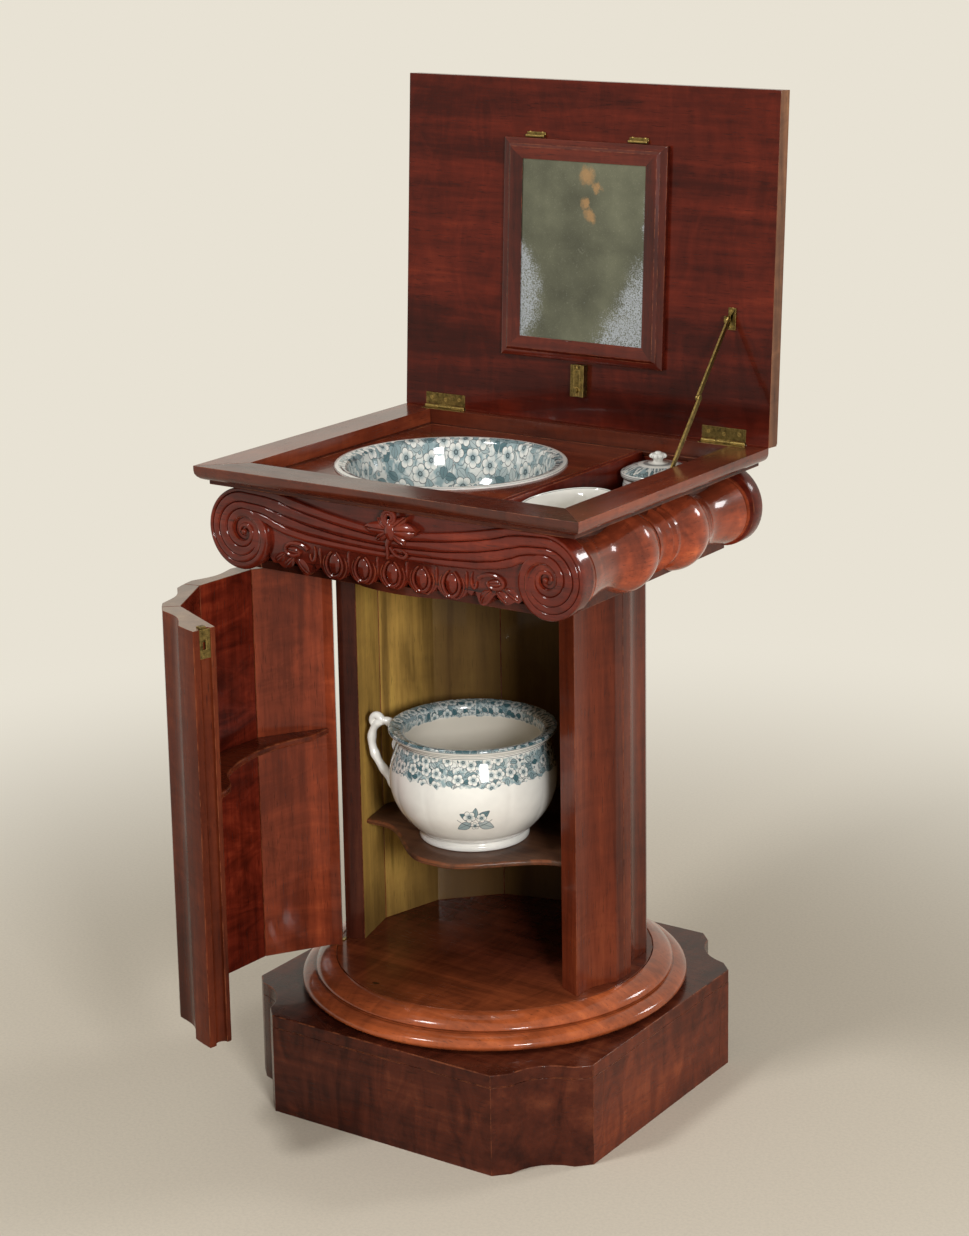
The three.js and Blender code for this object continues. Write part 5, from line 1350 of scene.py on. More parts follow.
ARCH_STEPS = 16
RIM_STEPS = 36
EGG_SIZE = (0.0082, 0.0046, 0.0128)
EGG_RIMS = ((0.0118, 0.0152, 0.0021, 22, 0.0018), (0.0168, 0.019, 0.0014, 64, 0.0002))
DART_HEAD = 0.7065
DART_LENGTH = 0.023
DART_STEPS = 12
PETAL_GRID = (14, 10)
CURL_STEPS = 24
CARVING_HOLLOW = 0.0024
OUTLINE_GAP = 0.0004
OUTLINE_QUARTERS = 8 / 3
LEAF_PLACE = 0.1405
LEAF_HEIGHT = 0.6975


def scroll_radius(quarters):
    """Radius of the scroll's outer edge after a number of quarter turns from its top."""
    return SCROLL_RISE * at_share(SCROLL_LINE, quarters / (len(SCROLL_SHARES) - 1))[0]


def scroll_point(quarters, radius):
    x, z = polar(radius, 90 - 90 * quarters)
    return SCROLL_REACH + x, SCROLL_CENTRE + z


def band_heights(x):
    """The top of the band, its three grooves and its lower edge at a distance from the middle."""
    top = ABACUS_FOOT - BAND_SAG + BAND_SAG * min(x / BAND_SPRING, 1) ** 1.6
    spot = 0
    while spot < len(BAND_LOW_LINE) - 2 and BAND_LOW_LINE[spot + 1][0] < x:
        spot += 1
    (x0, z0), (x1, z1) = BAND_LOW_LINE[spot], BAND_LOW_LINE[spot + 1]
    foot = z0 + (z1 - z0) * (x - x0) / (x1 - x0)
    return [top, *[top + (foot - top) * share for share in at_share(BAND_GROOVE_SHARES, x / SCROLL_REACH)],
            foot]


def reed_place(rows, row):
    """Which reed a row of the grid belongs to, how far across the reed it lies and how deep."""
    if row == rows:
        return rows // len(REED_SECTION) - 1, 1.0, 1.0
    reed, step = divmod(row, len(REED_SECTION))
    return reed, *REED_SECTION[step]


def band_point(side, x, reed, across, depth):
    """A point of the band's reeds, which rise towards the scroll."""
    heights = band_heights(x)
    z = heights[reed] + (heights[reed + 1] - heights[reed]) * across
    lift = sizes().scroll_swell * ease(4 * x / SCROLL_REACH - 3)
    return Vector((side * x, FRIEZE_FACE - lift + depth * sizes().reed_depth, z))


def carve_band(bm, side):
    """Half of the reeded band, whose three upper reeds wind into the scroll."""
    columns = BAND_STEPS + SCROLL_TURN * SCROLL_STEPS
    rows = 3 * len(REED_SECTION)

    def place(u, v):
        column = round(u * columns)
        reed, across, depth = reed_place(rows, round(v * rows))
        if column <= BAND_STEPS:
            return band_point(side, SCROLL_REACH * column / BAND_STEPS, reed, across, depth)
        quarters = (column - BAND_STEPS) / SCROLL_STEPS
        outer, inner = scroll_radius(quarters), scroll_radius(quarters + 4)
        shares = [0, *at_share(SCROLL_GROOVE_SHARES, quarters / (len(SCROLL_GROOVE_SHARES) - 1)), 1]
        share = shares[reed] + (shares[reed + 1] - shares[reed]) * across
        x, z = scroll_point(quarters, outer + (inner - outer) * share)
        deep = min(sizes().reed_depth, 0.16 * (outer - inner)) * depth
        if 0.5 < reed + across < 2.5:
            deep *= 1 - SCROLL_FADE * ease(quarters / 2 - 0.3)
        sunk = HOLLOW_DEPTH * ease((quarters - HOLLOW_QUARTER) / 1.1) * ease((share - shares[1]) / 0.16)
        eye = min(EYE_SINK * max(0, quarters - EYE_QUARTER), EYE_DEPTH)
        y = FRIEZE_FACE - sizes().scroll_swell + max(deep, min(sunk, 0.3 * outer)) + eye
        return Vector((side * x, min(y, FRIEZE_GROUND), z))

    backed(bm, mapped(bm, columns, rows, place), RELIEF_BACK)
    x, z = scroll_point(0, 0)
    oval(bm, (side * x, FRIEZE_FACE + 0.0012, z), EYE_SIZE)


def carve_low_reed(bm, side):
    """The band's lowest reed, which runs under the others into the scroll's second turn."""
    rows = len(REED_SECTION)

    def place(u, v):
        _, across, depth = reed_place(rows, round(v * rows))
        return band_point(side, SCROLL_REACH * u, 3, across, depth)

    backed(bm, mapped(bm, BAND_STEPS, rows, place), RELIEF_BACK)


FRIEZE_LEAF_EDGE = [(0.181, 0.6905), (0.178, 0.6835), (0.1735, 0.679), (0.168, 0.6795), (0.163, 0.6765),
                    (0.157, 0.6745), (0.1515, 0.678), (0.147, 0.6835), (0.1425, 0.6845), (0.138, 0.6805),
                    (0.1325, 0.6735), (0.1265, 0.6695), (0.1205, 0.6715), (0.1175, 0.6785), (0.115, 0.6845),
                    (0.1125, 0.6835), (0.1095, 0.679)]


def scroll_outline(steps):
    """The outside of the scroll from its top to where the board's lower edge begins."""
    turns = [OUTLINE_QUARTERS * i / steps for i in range(steps + 1)]
    return [scroll_point(turn, scroll_radius(turn) - OUTLINE_GAP) for turn in turns]


def frieze_half_outline():
    """The right half of the board's outline: round the scroll and along the hanging edge."""
    points = [*scroll_outline(16), *through(FRIEZE_LEAF_EDGE, 3)]
    for i in range(EGG_COUNT // 2, -1, -1):
        for step in range(ARCH_STEPS + 1):
            across = 1 - 2 * step / ARCH_STEPS
            x = (i + across / 2) * EGG_PITCH
            if x > 0:
                points.append((x, EGG_FOOT + abs(across) ** 3 * EGG_ARCH))
    return points


def carve_egg(bm, x):
    """An egg in a thick rim that is open at its top, between two thin outer rims."""
    oval(bm, (x, FRIEZE_GROUND, EGG_MIDDLE + 0.001), EGG_SIZE)
    for width, height, thick, open_angle, proud in EGG_RIMS:
        path = []
        for i in range(RIM_STEPS + 1):
            turn = degrees(90 + open_angle + (360 - 2 * open_angle) * i / RIM_STEPS)
            pinch = 1 - 0.22 * max(0, math.sin(turn))
            z = EGG_MIDDLE + 0.0012 + height * math.sin(turn)
            path.append((x + width * pinch * math.cos(turn), FRIEZE_GROUND - proud,
                         max(z, EGG_FOOT + thick)))
        tube(bm, path, lambda t, thick=thick: thick * (0.5 + 0.5 * math.sin(math.pi * t) ** 0.7))


def carve_dart(bm, x):
    """A dart between two eggs."""
    heights = [DART_HEAD - DART_LENGTH * i / DART_STEPS for i in range(DART_STEPS + 1)]
    path = [(x, FRIEZE_GROUND - 0.0004, height) for height in heights]
    tube(bm, path, lambda t: 0.0003 + 0.0019 * math.sin(math.pi * min(1, 0.15 + t)) ** 0.8, sides=8)


def petal(bm, foot, tip, width, lift, curl, sway=0.0):
    """A leaf or petal from foot to tip: cupped, creased down its middle and curled out at its tip."""
    foot, tip = Vector(foot), Vector(tip)
    along = tip - foot
    side = along.cross(Vector((0, -1, 0))).normalized()

    def place(u, v):
        across = 2 * v - 1
        half = width * math.sin(math.pi * min(0.999, 0.06 + 0.94 * u)) ** 0.75
        spot = foot + along * u + side * (across * half + sway * math.sin(math.pi * u))
        dome = lift * (1 - across**2) * math.sin(math.pi * min(1, 0.12 + u)) ** 0.5
        crease = lift * 0.35 * max(0, 1 - abs(across) * 3.5)
        spot.y -= dome - crease + curl * u**3
        return spot

    backed(bm, mapped(bm, *PETAL_GRID, place), RELIEF_BACK)


def curl_path(x, y, z, side, turns, start, reach, rise):
    """A flattened spiral from its open end inwards."""
    path = []
    steps = turns * CURL_STEPS
    for i in range(steps + 1):
        t = i / steps
        px, pz = polar(1 - 0.72 * t, start - 360 * turns * t)
        path.append((x + side * px * reach, y - 0.0008 * t, z + pz * rise))
    return path


# Turns, first angle, reach and rise of the leaf's loop, of the hook beside it and of the flower's curl
LEAF_LOOP = (1, -200, 0.0205, 0.0112)
LEAF_HOOK = (1, 60, 0.0052, 0.0115)
FLOWER_CURL = (2, 250, 0.0098, 0.0098)
# The leaf's lobes, from its middle: foot and tip, both x and z, how proud, width, lift, curl, sway
SCROLL_LEAF_LOBES = [
    (-0.009, -0.001, 0.0135, 0.0015, 0.0004, 0.0052, 0.0036, 0.001, 0),
    (-0.004, -0.009, -0.0195, -0.0262, 0, 0.0062, 0.003, 0, 0.001),
    (0.003, -0.008, 0.0175, -0.0215, 0, 0.0058, 0.003, 0, -0.001),
    (0.0155, -0.0045, 0.033, -0.0165, 0, 0.0052, 0.003, 0, -0.001),
]


def carve_scroll_leaf(bm, side):
    """A curled leaf between the eggs and the scroll, with lobes that hang below the edge."""
    x, y, z = side * LEAF_PLACE, FRIEZE_GROUND, LEAF_HEIGHT
    loop = curl_path(x, y - 0.0016, z, side, *LEAF_LOOP)
    tube(bm, loop, tapering(0.0026, 0.0020))
    for foot_x, foot_z, tip_x, tip_z, proud, *shape in SCROLL_LEAF_LOBES:
        foot = (x + side * foot_x, y - proud, z + foot_z)
        petal(bm, foot, (x + side * tip_x, y - proud, z + tip_z), *shape)
    hook = curl_path(x - side * 0.0255, y - 0.0008, z - 0.0005, -side, *LEAF_HOOK)
    tube(bm, hook[:17], lambda t: 0.0009 + 0.0012 * math.sin(math.pi * t), sides=8)


FLOWER_HEART = (0.004, 0.7425)
BUD_PLACE = (0.0045, 0.7415)
BUD_SIZE = (0.0078, 0.0058, 0.0112)
# The flower's petals: tip x and z, width, lift, curl
FLOWER_PETALS = [
    (-0.0335, 0.7425, 0.0082, 0.0052, 0.0018),
    (0.0405, 0.745, 0.0102, 0.0064, 0.0026),
    (-0.0175, 0.7285, 0.0062, 0.005, 0.001),
    (0.0235, 0.7275, 0.0072, 0.0054, 0.0012),
    (0.0265, 0.7605, 0.0062, 0.005, 0.0018),
    (-0.0145, 0.7555, 0.0066, 0.005, 0.0014),
]
# Points of the flower's stem and of the hook beside it: x, how proud, z
FLOWER_STEM = [(0.003, 0.0012, 0.735), (-0.0005, 0.0014, 0.726), (-0.001, 0.001, 0.717),
               (-0.002, 0, 0.7085)]
FLOWER_HOOK = [(0.003, 0.0012, 0.7225), (0.0115, 0.002, 0.7145), (0.021, 0.0018, 0.7125),
               (0.0262, 0.0014, 0.7165), (0.0215, 0.0012, 0.7205), (0.0165, 0.001, 0.7185)]


def carve_flower(bm):
    """The flower over the middle of the band: a bud, curled petals and a stem with a small scroll."""
    y = FRIEZE_FACE
    heart = (FLOWER_HEART[0], y - 0.0004, FLOWER_HEART[1])
    for x, z, *shape in FLOWER_PETALS:
        petal(bm, heart, (x, y - 0.0004, z), *shape)
    oval(bm, (BUD_PLACE[0], y - 0.002, BUD_PLACE[1]), BUD_SIZE)
    tube(bm, curl_path(0.0035, y - 0.0022, 0.7575, 1, *FLOWER_CURL), tapering(0.0031, 0.0018))
    for points, first, last in ((FLOWER_STEM, 0.0032, 0.0020), (FLOWER_HOOK, 0.0027, 0.0016)):
        path = through([(x, y - proud, z) for x, proud, z in points])
        tube(bm, path, tapering(first, last), sides=8)


def make_carved_front():
    bm = upright_board(mirrored(frieze_half_outline()), FRIEZE_GROUND, FRIEZE_BACK)
    for side in (-1, 1):
        carve_band(bm, side)
        carve_low_reed(bm, side)
        carve_scroll_leaf(bm, side)
    for i in range(EGG_COUNT):
        carve_egg(bm, (i - (EGG_COUNT - 1) / 2) * EGG_PITCH)
    for i in range(EGG_COUNT + 1):
        carve_dart(bm, (i - EGG_COUNT / 2) * EGG_PITCH)
    carve_flower(bm)
    make_piece("carved_front_frieze", bm, "carved_mahogany", name="carved_front", hollow=CARVING_HOLLOW)


def make_plain_back():
    """The board behind the bolsters, with the scrolls' outline and a straight lower edge."""
    low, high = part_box("plain_back_frieze")
    bm = upright_board(mirrored(scroll_outline(32)), low.y, high.y)
    soften_edges(bm, BOARD_SOFTNESS)
    make_piece("plain_back_frieze", bm, "mahogany_x")


def make_capital():
    for side, node in ((-1, "bolster_left"), (1, "bolster_right")):
        make_bolster(side, node)
    make_carved_front()
    make_plain_back()
    for node in ("case_bottom", "case_left_side", "case_right_side", "compartment_floor"):
        eased(node, "dark_mahogany_x")
    eased("compartment_divider", "mahogany_y")
    eased("abacus_plate", "dark_mahogany_x", 1.5, 3)


def make_top():
    # The front and back rails are darkened as a painted reflection of the lid
    eased("top_front_rail", "top_wood", 0.9)
    eased("top_left_rail", "top_side_wood", 0.9)
    eased("top_right_rail", "top_side_wood", 0.9)
    eased("top_back_rail", "top_wood", 0.4)
    eased("basin_board", "board_wood", 1.25)


LID_SWING = JOINTS["lid_hinge"]
LID_AXIS = Vector(LID_SWING["pos_m"])
LID_LEAN = 90 + max(LID_SWING["range_deg"], key=abs)
LID_THICKNESS = 0.022
LID_LIP = [(0.0011, 0.0), (0.0004, 0.0), (-0.0010, -0.0005), (-0.0010, -LID_THICKNESS + 0.001),
           (0.0011, -LID_THICKNESS + 0.001)]
LID_LIP_SPANS = ((-0.2695, -0.2395), (-0.1755, 0.1755), (0.2395, 0.2695))


def make_lid_panel():
    """The lid, with the lip of its lower edge that closes the joint behind the top."""
    bm = cad_copy("lid_panel")
    soften_edges(bm, BOARD_SOFTNESS)
    lying = Matrix(((0, 0, 1), (1, 0, 0), (0, 1, 0)))
    for start, end in LID_LIP_SPANS:
        lip = prism([(-out, up) for up, out in LID_LIP], start, end)
        add_part(bm, lip, LID_AXIS, Matrix.Rotation(degrees(LID_LEAN), 3, "X") @ lying)
    panel = make_piece("lid_panel", bm, "lid_wood", weighted=True)
    refinish(panel, "lid_edge_wood", lambda face: abs(face.normal.x) > FACING)


def make_lid():
    make_lid_panel()
    frame_piece = eased("mirror_frame", "frame_wood", 0.75)
    low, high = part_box("mirror_frame")
    middle, half = (low + high) / 2, (high - low) / 2
    refinish(frame_piece, "frame_rail_wood",
             lambda face: abs(face.center.z - middle.z) - half.z > abs(face.center.x - middle.x) - half.x)
    eased("mirror_glass", "old_mirror", BRASS_SOFTNESS)
    eased("mirror_backboard", "bare_deal")


FRONT = (0, -1, 0)
UP = (0, 0, 1)
LEAF_SCREWS = ((-0.0215, 0.0008), (0, -0.0006), (0.0215, 0.0008))
SCREW_TURNS = (25, 110, 68, 150)
SCREWED = {
    "lid_hinge_lid_leaf_left": (FRONT, LEAF_SCREWS),
    "lid_hinge_lid_leaf_right": (FRONT, LEAF_SCREWS),
    "mirror_catch_plate": (FRONT, ((0, 0.0172), (0, -0.0172))),
    "stay_lid_bracket": (FRONT, ((-0.0022, 0.0098), (-0.0022, -0.0098))),
    "mirror_hinge_left": (UP, ((-0.009, 0), (0.009, 0))),
    "mirror_hinge_right": (UP, ((-0.009, 0), (0.009, 0))),
}


def make_brass():
    for node, slot in SLOT_OF.items():
        if slot != "brass" or node.startswith("door"):
            continue
        screws = ()
        if node in SCREWED:
            toward, places = SCREWED[node]
            radius = sizes().screw_radius if places is LEAF_SCREWS else sizes().small_screw_radius
            screws = screws_on(node, toward, places, SCREW_TURNS, radius)
        eased(node, "aged_brass", BRASS_SOFTNESS, screws=screws)


# Crockery


def middle_of(node):
    low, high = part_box(node)
    return (low + high) / 2


def arc_to(profile, spot):
    """Length of a profile up to one of its points."""
    return sum(math.dist(a, b) for a, b in zip(profile[:spot], profile[1:spot + 1]))


def drawn_in(bm, centre, share):
    """Draws each vertex of a turned piece in to a share of its radius and moves the piece to its centre."""
    for vert in bm.verts:
        kept = share(vert, math.hypot(vert.co.x, vert.co.y), math.atan2(vert.co.y, vert.co.x))
        vert.co.x *= kept
        vert.co.y *= kept
    bmesh.ops.translate(bm, verts=bm.verts, vec=(*centre[:2], 0))
    return bm


BASIN_LOW, BASIN_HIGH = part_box("wash_basin")
BASIN_CENTRE = middle_of("wash_basin")
BASIN_RADIUS = (BASIN_HIGH.x - BASIN_LOW.x) / 2
BASIN_DEPTH = BASIN_HIGH.z - BASIN_LOW.z
BASIN_RIM_THICKNESS = 0.003
BASIN_SEAT = BASIN_HIGH.z - BASIN_RIM_THICKNESS
BASIN_UNDER_SHARES = (0.995, 0.905)
BASIN_INSIDE_SHARES = [(0.0001, 0.075), (0.15, 0.078), (0.3, 0.09), (0.56, 0.17), (0.73, 0.38),
                       (0.83, 0.62), (0.868, 0.88), (0.89, 0.965), (0.915, 0.985)]
BASIN_RIM_SHARES = [(0.93, 0.985), (0.955, 0.998), (0.985, 0.998), (0.999, 0.99), (0.999, 0.975)]
BASIN_OUTSIDE_SHARES = [(0.9, 0.962), (0.898, 0.9), (0.86, 0.62), (0.76, 0.34), (0.6, 0.12), (0.44, 0.04),
                        (0.42, 0.0), (0.4, 0.0), (0.38, 0.03), (0.0001, 0.03)]
BEAD_COUNT = 132
BEAD_STEPS = 3
BEAD_START = 0.97 * BASIN_RADIUS
BASIN_INSIDE = through(sized_profile(BASIN_INSIDE_SHARES, BASIN_RADIUS, BASIN_DEPTH, BASIN_LOW.z), 6)
BASIN_RIM = through(sized_profile(BASIN_RIM_SHARES, BASIN_RADIUS, BASIN_DEPTH, BASIN_LOW.z), 3)
BASIN_PROFILE = [*BASIN_INSIDE, *BASIN_RIM]
BASIN_ARC = arc_to(BASIN_PROFILE, len(BASIN_PROFILE) - 1)


def beaded(vert, radius, turn):
    """What the beads of the basin's rim keep of its radius."""
    if vert.co.z <= BASIN_SEAT or radius <= BEAD_START:
        return 1.0
    return 1 - sizes().bead_depth * math.cos(turn * BEAD_COUNT / 2) ** 2 / radius


def make_basin():
    outside = sized_profile(BASIN_OUTSIDE_SHARES, BASIN_RADIUS, BASIN_DEPTH, BASIN_LOW.z)
    under = [(share * BASIN_RADIUS, BASIN_SEAT) for share in BASIN_UNDER_SHARES]
    bm = turned([*BASIN_PROFILE, *under, *outside], BEAD_COUNT * BEAD_STEPS)
    make_piece("wash_basin", drawn_in(bm, BASIN_CENTRE, beaded), "basin_glaze", sharp=ROUND_SHARP_ANGLE)


POT_RADIUS = 0.1035
POT_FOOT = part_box("chamber_pot")[0].z
POT_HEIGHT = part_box("chamber_pot")[1].z - POT_FOOT
POT_CENTRE = (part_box("chamber_pot")[1].x - POT_RADIUS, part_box("chamber_pot")[1].y - POT_RADIUS)
POT_SEAM = degrees(VIEW_AZIMUTH + 90)
POT_OUTSIDE_SHARES = [(0.0001, 0.02), (0.56, 0.02), (0.58, 0.0), (0.64, 0.002), (0.655, 0.02),
                      (0.65, 0.045), (0.632, 0.062), (0.648, 0.082), (0.755, 0.145), (0.9, 0.28),
                      (0.978, 0.42), (0.998, 0.54), (0.985, 0.66), (0.935, 0.79), (0.905, 0.86),
                      (0.897, 0.9), (0.91, 0.925), (0.955, 0.94), (0.985, 0.955), (0.999, 0.97)]
POT_INSIDE_SHARES = [(0.996, 0.988), (0.975, 0.996), (0.9, 0.985), (0.845, 0.965), (0.828, 0.93),
                     (0.828, 0.88), (0.86, 0.8), (0.925, 0.66), (0.945, 0.52), (0.92, 0.4), (0.83, 0.26),
                     (0.7, 0.15), (0.5, 0.088), (0.25, 0.077), (0.0001, 0.075)]
POT_SIDES = 192
POT_PROFILE = through(sized_profile([*POT_OUTSIDE_SHARES, *POT_INSIDE_SHARES], POT_RADIUS, POT_HEIGHT,
                                    POT_FOOT), PROFILE_STEPS)
POT_RIM_ARC = arc_to(POT_PROFILE, (len(POT_OUTSIDE_SHARES) - 1) * PROFILE_STEPS)
POT_FOOT_ARC = arc_to(POT_PROFILE, 7 * PROFILE_STEPS)
POT_LOBES = 12
POT_LOBES_FOOT = POT_FOOT_ARC + 0.01
POT_LOBES_HEAD = POT_RIM_ARC - 0.03
CHINA_SHARP_ANGLE = 60
HANDLE_ANGLE = -165
HANDLE_REACH = 0.138
HANDLE_SIDES = 14
HANDLE_FLATNESS = 0.82
CURL_SIDES = 12
HANDLE_SHARES = [(0.66, 0.86), (0.7, 0.885), (0.76, 0.925), (0.83, 0.955), (0.9, 0.93), (0.95, 0.86),
                 (0.965, 0.76), (0.945, 0.66), (0.9, 0.57), (0.845, 0.49), (0.795, 0.42), (0.755, 0.35),
                 (0.725, 0.3)]
# The curls at the handle's head: middle, half sizes, first turn, step and count, radii
HANDLE_CURLS = [
    ((0.915, 0.945), (0.042, 0.05), (200, -15, 17), (0.0062, 0.0038)),
    ((0.715, 0.745), (0.03, 0.042), (-100, 18, 14), (0.0044, 0.0034)),
]


def handle_point(reach, rise):
    x, y = polar(reach * HANDLE_REACH, HANDLE_ANGLE)
    return Vector((POT_CENTRE[0] + x, POT_CENTRE[1] + y, POT_FOOT + rise * POT_HEIGHT))


def handle_radius(t):
    """Thick where the handle meets the pot, with small lumps along its back."""
    lumps = 0.0012 * abs(math.sin(7.5 * math.pi * t)) ** 3 * ease(t * 5)
    return 0.0058 + 0.0012 * (1 - ease(t * 5)) + lumps + 0.0014 * ease(t * 6 - 5)


def make_pot():
    bm = turned(POT_PROFILE, POT_SIDES)
    arc = bm.verts.layers.float["arc"]

    def lobed(vert, radius, turn):
        share = (vert[arc] - POT_LOBES_FOOT) / (POT_LOBES_HEAD - POT_LOBES_FOOT)
        if not 0 < share < 1:
            return 1.0
        gap = 1 - abs(math.sin(turn * POT_LOBES / 2)) ** 0.5
        return 1 - sizes().pot_lobe_depth * math.sin(math.pi * share) * gap / POT_RADIUS

    drawn_in(bm, POT_CENTRE, lobed)
    upright = (-math.sin(degrees(HANDLE_ANGLE)), math.cos(degrees(HANDLE_ANGLE)), 0)
    spine = [handle_point(*point) for point in through(HANDLE_SHARES)]
    tube(bm, spine, handle_radius, upright, HANDLE_SIDES, HANDLE_FLATNESS)
    for (reach, rise), (wide, high), (start, step, count), radii in HANDLE_CURLS:
        turns = [degrees(start + step * i) for i in range(count)]
        path = [handle_point(reach + wide * math.cos(turn), rise + high * math.sin(turn)) for turn in turns]
        tube(bm, path, tapering(*radii), upright, CURL_SIDES)
    make_piece("chamber_pot", bm, "pot_glaze", sharp=CHINA_SHARP_ANGLE)


JAR_LOW, JAR_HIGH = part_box("jar_body")
JAR_CENTRE = middle_of("jar_lid")
JAR_LID_LOW, JAR_LID_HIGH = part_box("jar_lid")
JAR_RADIUS = (JAR_LID_HIGH.x - JAR_LID_LOW.x) / 2
JAR_SIDES = 120
JAR_SHARES = [(0.0001, 0.02), (0.74, 0.02), (0.76, 0.0), (0.82, 0.004), (0.855, 0.04), (0.93, 0.2),
              (0.962, 0.4), (0.968, 0.6), (0.95, 0.82), (0.915, 0.92), (0.905, 0.965), (0.93, 1.0),
              (0.86, 1.0), (0.85, 0.92), (0.88, 0.7), (0.87, 0.35), (0.7, 0.12), (0.4, 0.09),
              (0.0001, 0.09)]
JAR_LID_SHARES = [(0.0001, 0.08), (0.74, 0.06), (0.8, 0.0), (0.97, 0.0), (0.995, 0.04), (0.998, 0.14),
                  (0.975, 0.2), (0.93, 0.24), (0.82, 0.33), (0.66, 0.42), (0.45, 0.49), (0.24, 0.53),
                  (0.15, 0.57), (0.125, 0.64), (0.15, 0.7), (0.225, 0.76), (0.235, 0.84), (0.18, 0.91),
                  (0.1, 0.93), (0.09, 0.965), (0.05, 0.998), (0.0001, 0.998)]
KNOB_PETALS = 6
KNOB_FOOT = 0.68
KNOB_HEAD = 0.95


def petalled(vert, radius, turn):
    """What the petals of the cover's knob keep of its radius."""
    rise = (vert.co.z - JAR_LID_LOW.z) / (JAR_LID_HIGH.z - JAR_LID_LOW.z)
    if not KNOB_FOOT < rise < KNOB_HEAD:
        return 1.0
    swell = math.sin(math.pi * (rise - KNOB_FOOT) / (KNOB_HEAD - KNOB_FOOT)) * 0.24
    return 1 - swell * (1 - abs(math.sin(turn * KNOB_PETALS / 2)) ** 0.6)


def make_jar():
    profile = through(sized_profile(JAR_SHARES, JAR_RADIUS, JAR_HIGH.z - JAR_LOW.z, JAR_LOW.z),
                      PROFILE_STEPS)
    make_piece("jar_body", turned(profile, JAR_SIDES, JAR_CENTRE[:2]), "jar_glaze", sharp=CHINA_SHARP_ANGLE)
    profile = through(sized_profile(JAR_LID_SHARES, JAR_RADIUS, JAR_LID_HIGH.z - JAR_LID_LOW.z,
                                    JAR_LID_LOW.z), PROFILE_STEPS)
    cover = drawn_in(turned(profile, JAR_SIDES), JAR_CENTRE, petalled)
    make_piece("jar_lid", cover, "jar_glaze", sharp=CHINA_SHARP_ANGLE)


DISH_LOW, DISH_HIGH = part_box("soap_dish")
DISH_CENTRE = middle_of("soap_dish")
DISH_SHARES = [(0.0001, 0.03), (0.54, 0.03), (0.56, 0.0), (0.6, 0.0), (0.63, 0.03), (0.72, 0.14),
               (0.83, 0.32), (0.925, 0.66), (0.975, 0.88), (0.997, 0.955), (0.998, 0.985), (0.975, 0.998),
               (0.94, 0.985), (0.9, 0.88), (0.86, 0.7), (0.76, 0.36), (0.62, 0.18), (0.3, 0.115),
               (0.0001, 0.11)]
DISH_RADIUS = (DISH_HIGH.x - DISH_LOW.x) / 2
DISH_STRETCH = (DISH_HIGH.y - DISH_LOW.y) / (DISH_HIGH.x - DISH_LOW.x)
DISH_SIDES = 128
DISH_PROFILE = through(sized_profile(DISH_SHARES, DISH_RADIUS, DISH_HIGH.z - DISH_LOW.z, DISH_LOW.z),
                       PROFILE_STEPS)
DISH_RIM_ARC = arc_to(DISH_PROFILE, 10 * PROFILE_STEPS)


def make_dish():
    bm = turned(DISH_PROFILE, DISH_SIDES)
    bmesh.ops.scale(bm, verts=bm.verts, vec=(1, DISH_STRETCH, 1))
    bmesh.ops.translate(bm, verts=bm.verts, vec=(*DISH_CENTRE[:2], 0))
    make_piece("soap_dish", bm, "dish_glaze", sharp=CHINA_SHARP_ANGLE)


# Studio

FLOOR_SIZE = 16
FLOOR_FADE = (0.45, 1.9)
# Each lamp's name, place, target, size and power
LAMPS = [
    ("window_lamp", (-0.9, -2.2, 3.2), (0, 0, 0.7), 0.6, 46),
    ("front_lamp", (2.75, -2.4, 1.5), (0, 0, 0.5), 0.65, 84),
    ("rim_lamp", (2.0, 2.6, 2.2), (0, 0, 0.7), 0.7, 30),
]


def make_floor():
    bm = bmesh.new()
    bmesh.ops.create_grid(bm, x_segments=1, y_segments=1, size=FLOOR_SIZE / 2)
    mesh = bpy.data.meshes.new("studio_floor")
    bm.to_mesh(mesh)
    bm.free()
    finish = Finish("studio_floor", {"Roughness": 0.75, "Specular IOR Level": 0.2})
    grain = finish.mottle(240, 4, 0.7)
    colour = finish.mix(tint("studio_floor"), tint("studio_floor", 0.92), grain.step(0.35, 0.7))
    x, y, _ = finish.axes(finish.place())
    far = ((x * x + y * y) ** 0.5).step(*FLOOR_FADE)
    glow = finish.node("ShaderNodeEmission", {}, {"Color": tint("sky"), "Strength": 1.0})
    lit = Value(finish, finish.shader.outputs[0])
    both = finish.node("ShaderNodeMixShader", {}, {0: far * finish.seen(), 1: lit, 2: glow})
    finish.feed(finish.tree.nodes["Material Output"].inputs["Surface"], both)
    mesh.materials.append(finish.done(Base_Color=colour))
    floor = bpy.data.objects.new("studio_floor", mesh)
    bpy.context.scene.collection.objects.link(floor)


def make_world():
    world = bpy.data.worlds.new("studio")
    bpy.context.scene.world = world
    world.use_nodes = True
    nodes = Nodes(world.node_tree)
    background = world.node_tree.nodes["Background"]
    nodes.feed(background.inputs["Color"], tint("sky"))
    inputs = {"Value": nodes.seen(), "To Min": sizes().sky_fill, "To Max": 1.0}
    nodes.feed(background.inputs["Strength"], nodes.node("ShaderNodeMapRange", {}, inputs))


def make_lamps():
    for name, spot, target, size, power in LAMPS:
        light = bpy.data.lights.new(name, "AREA")
        light.size = size
        light.energy = power * sizes().lamp_strength
        lamp = bpy.data.objects.new(name, light)
        lamp.location = spot
        lamp.rotation_euler = (Vector(target) - Vector(spot)).to_track_quat("-Z", "Y").to_euler()
        bpy.context.scene.collection.objects.link(lamp)


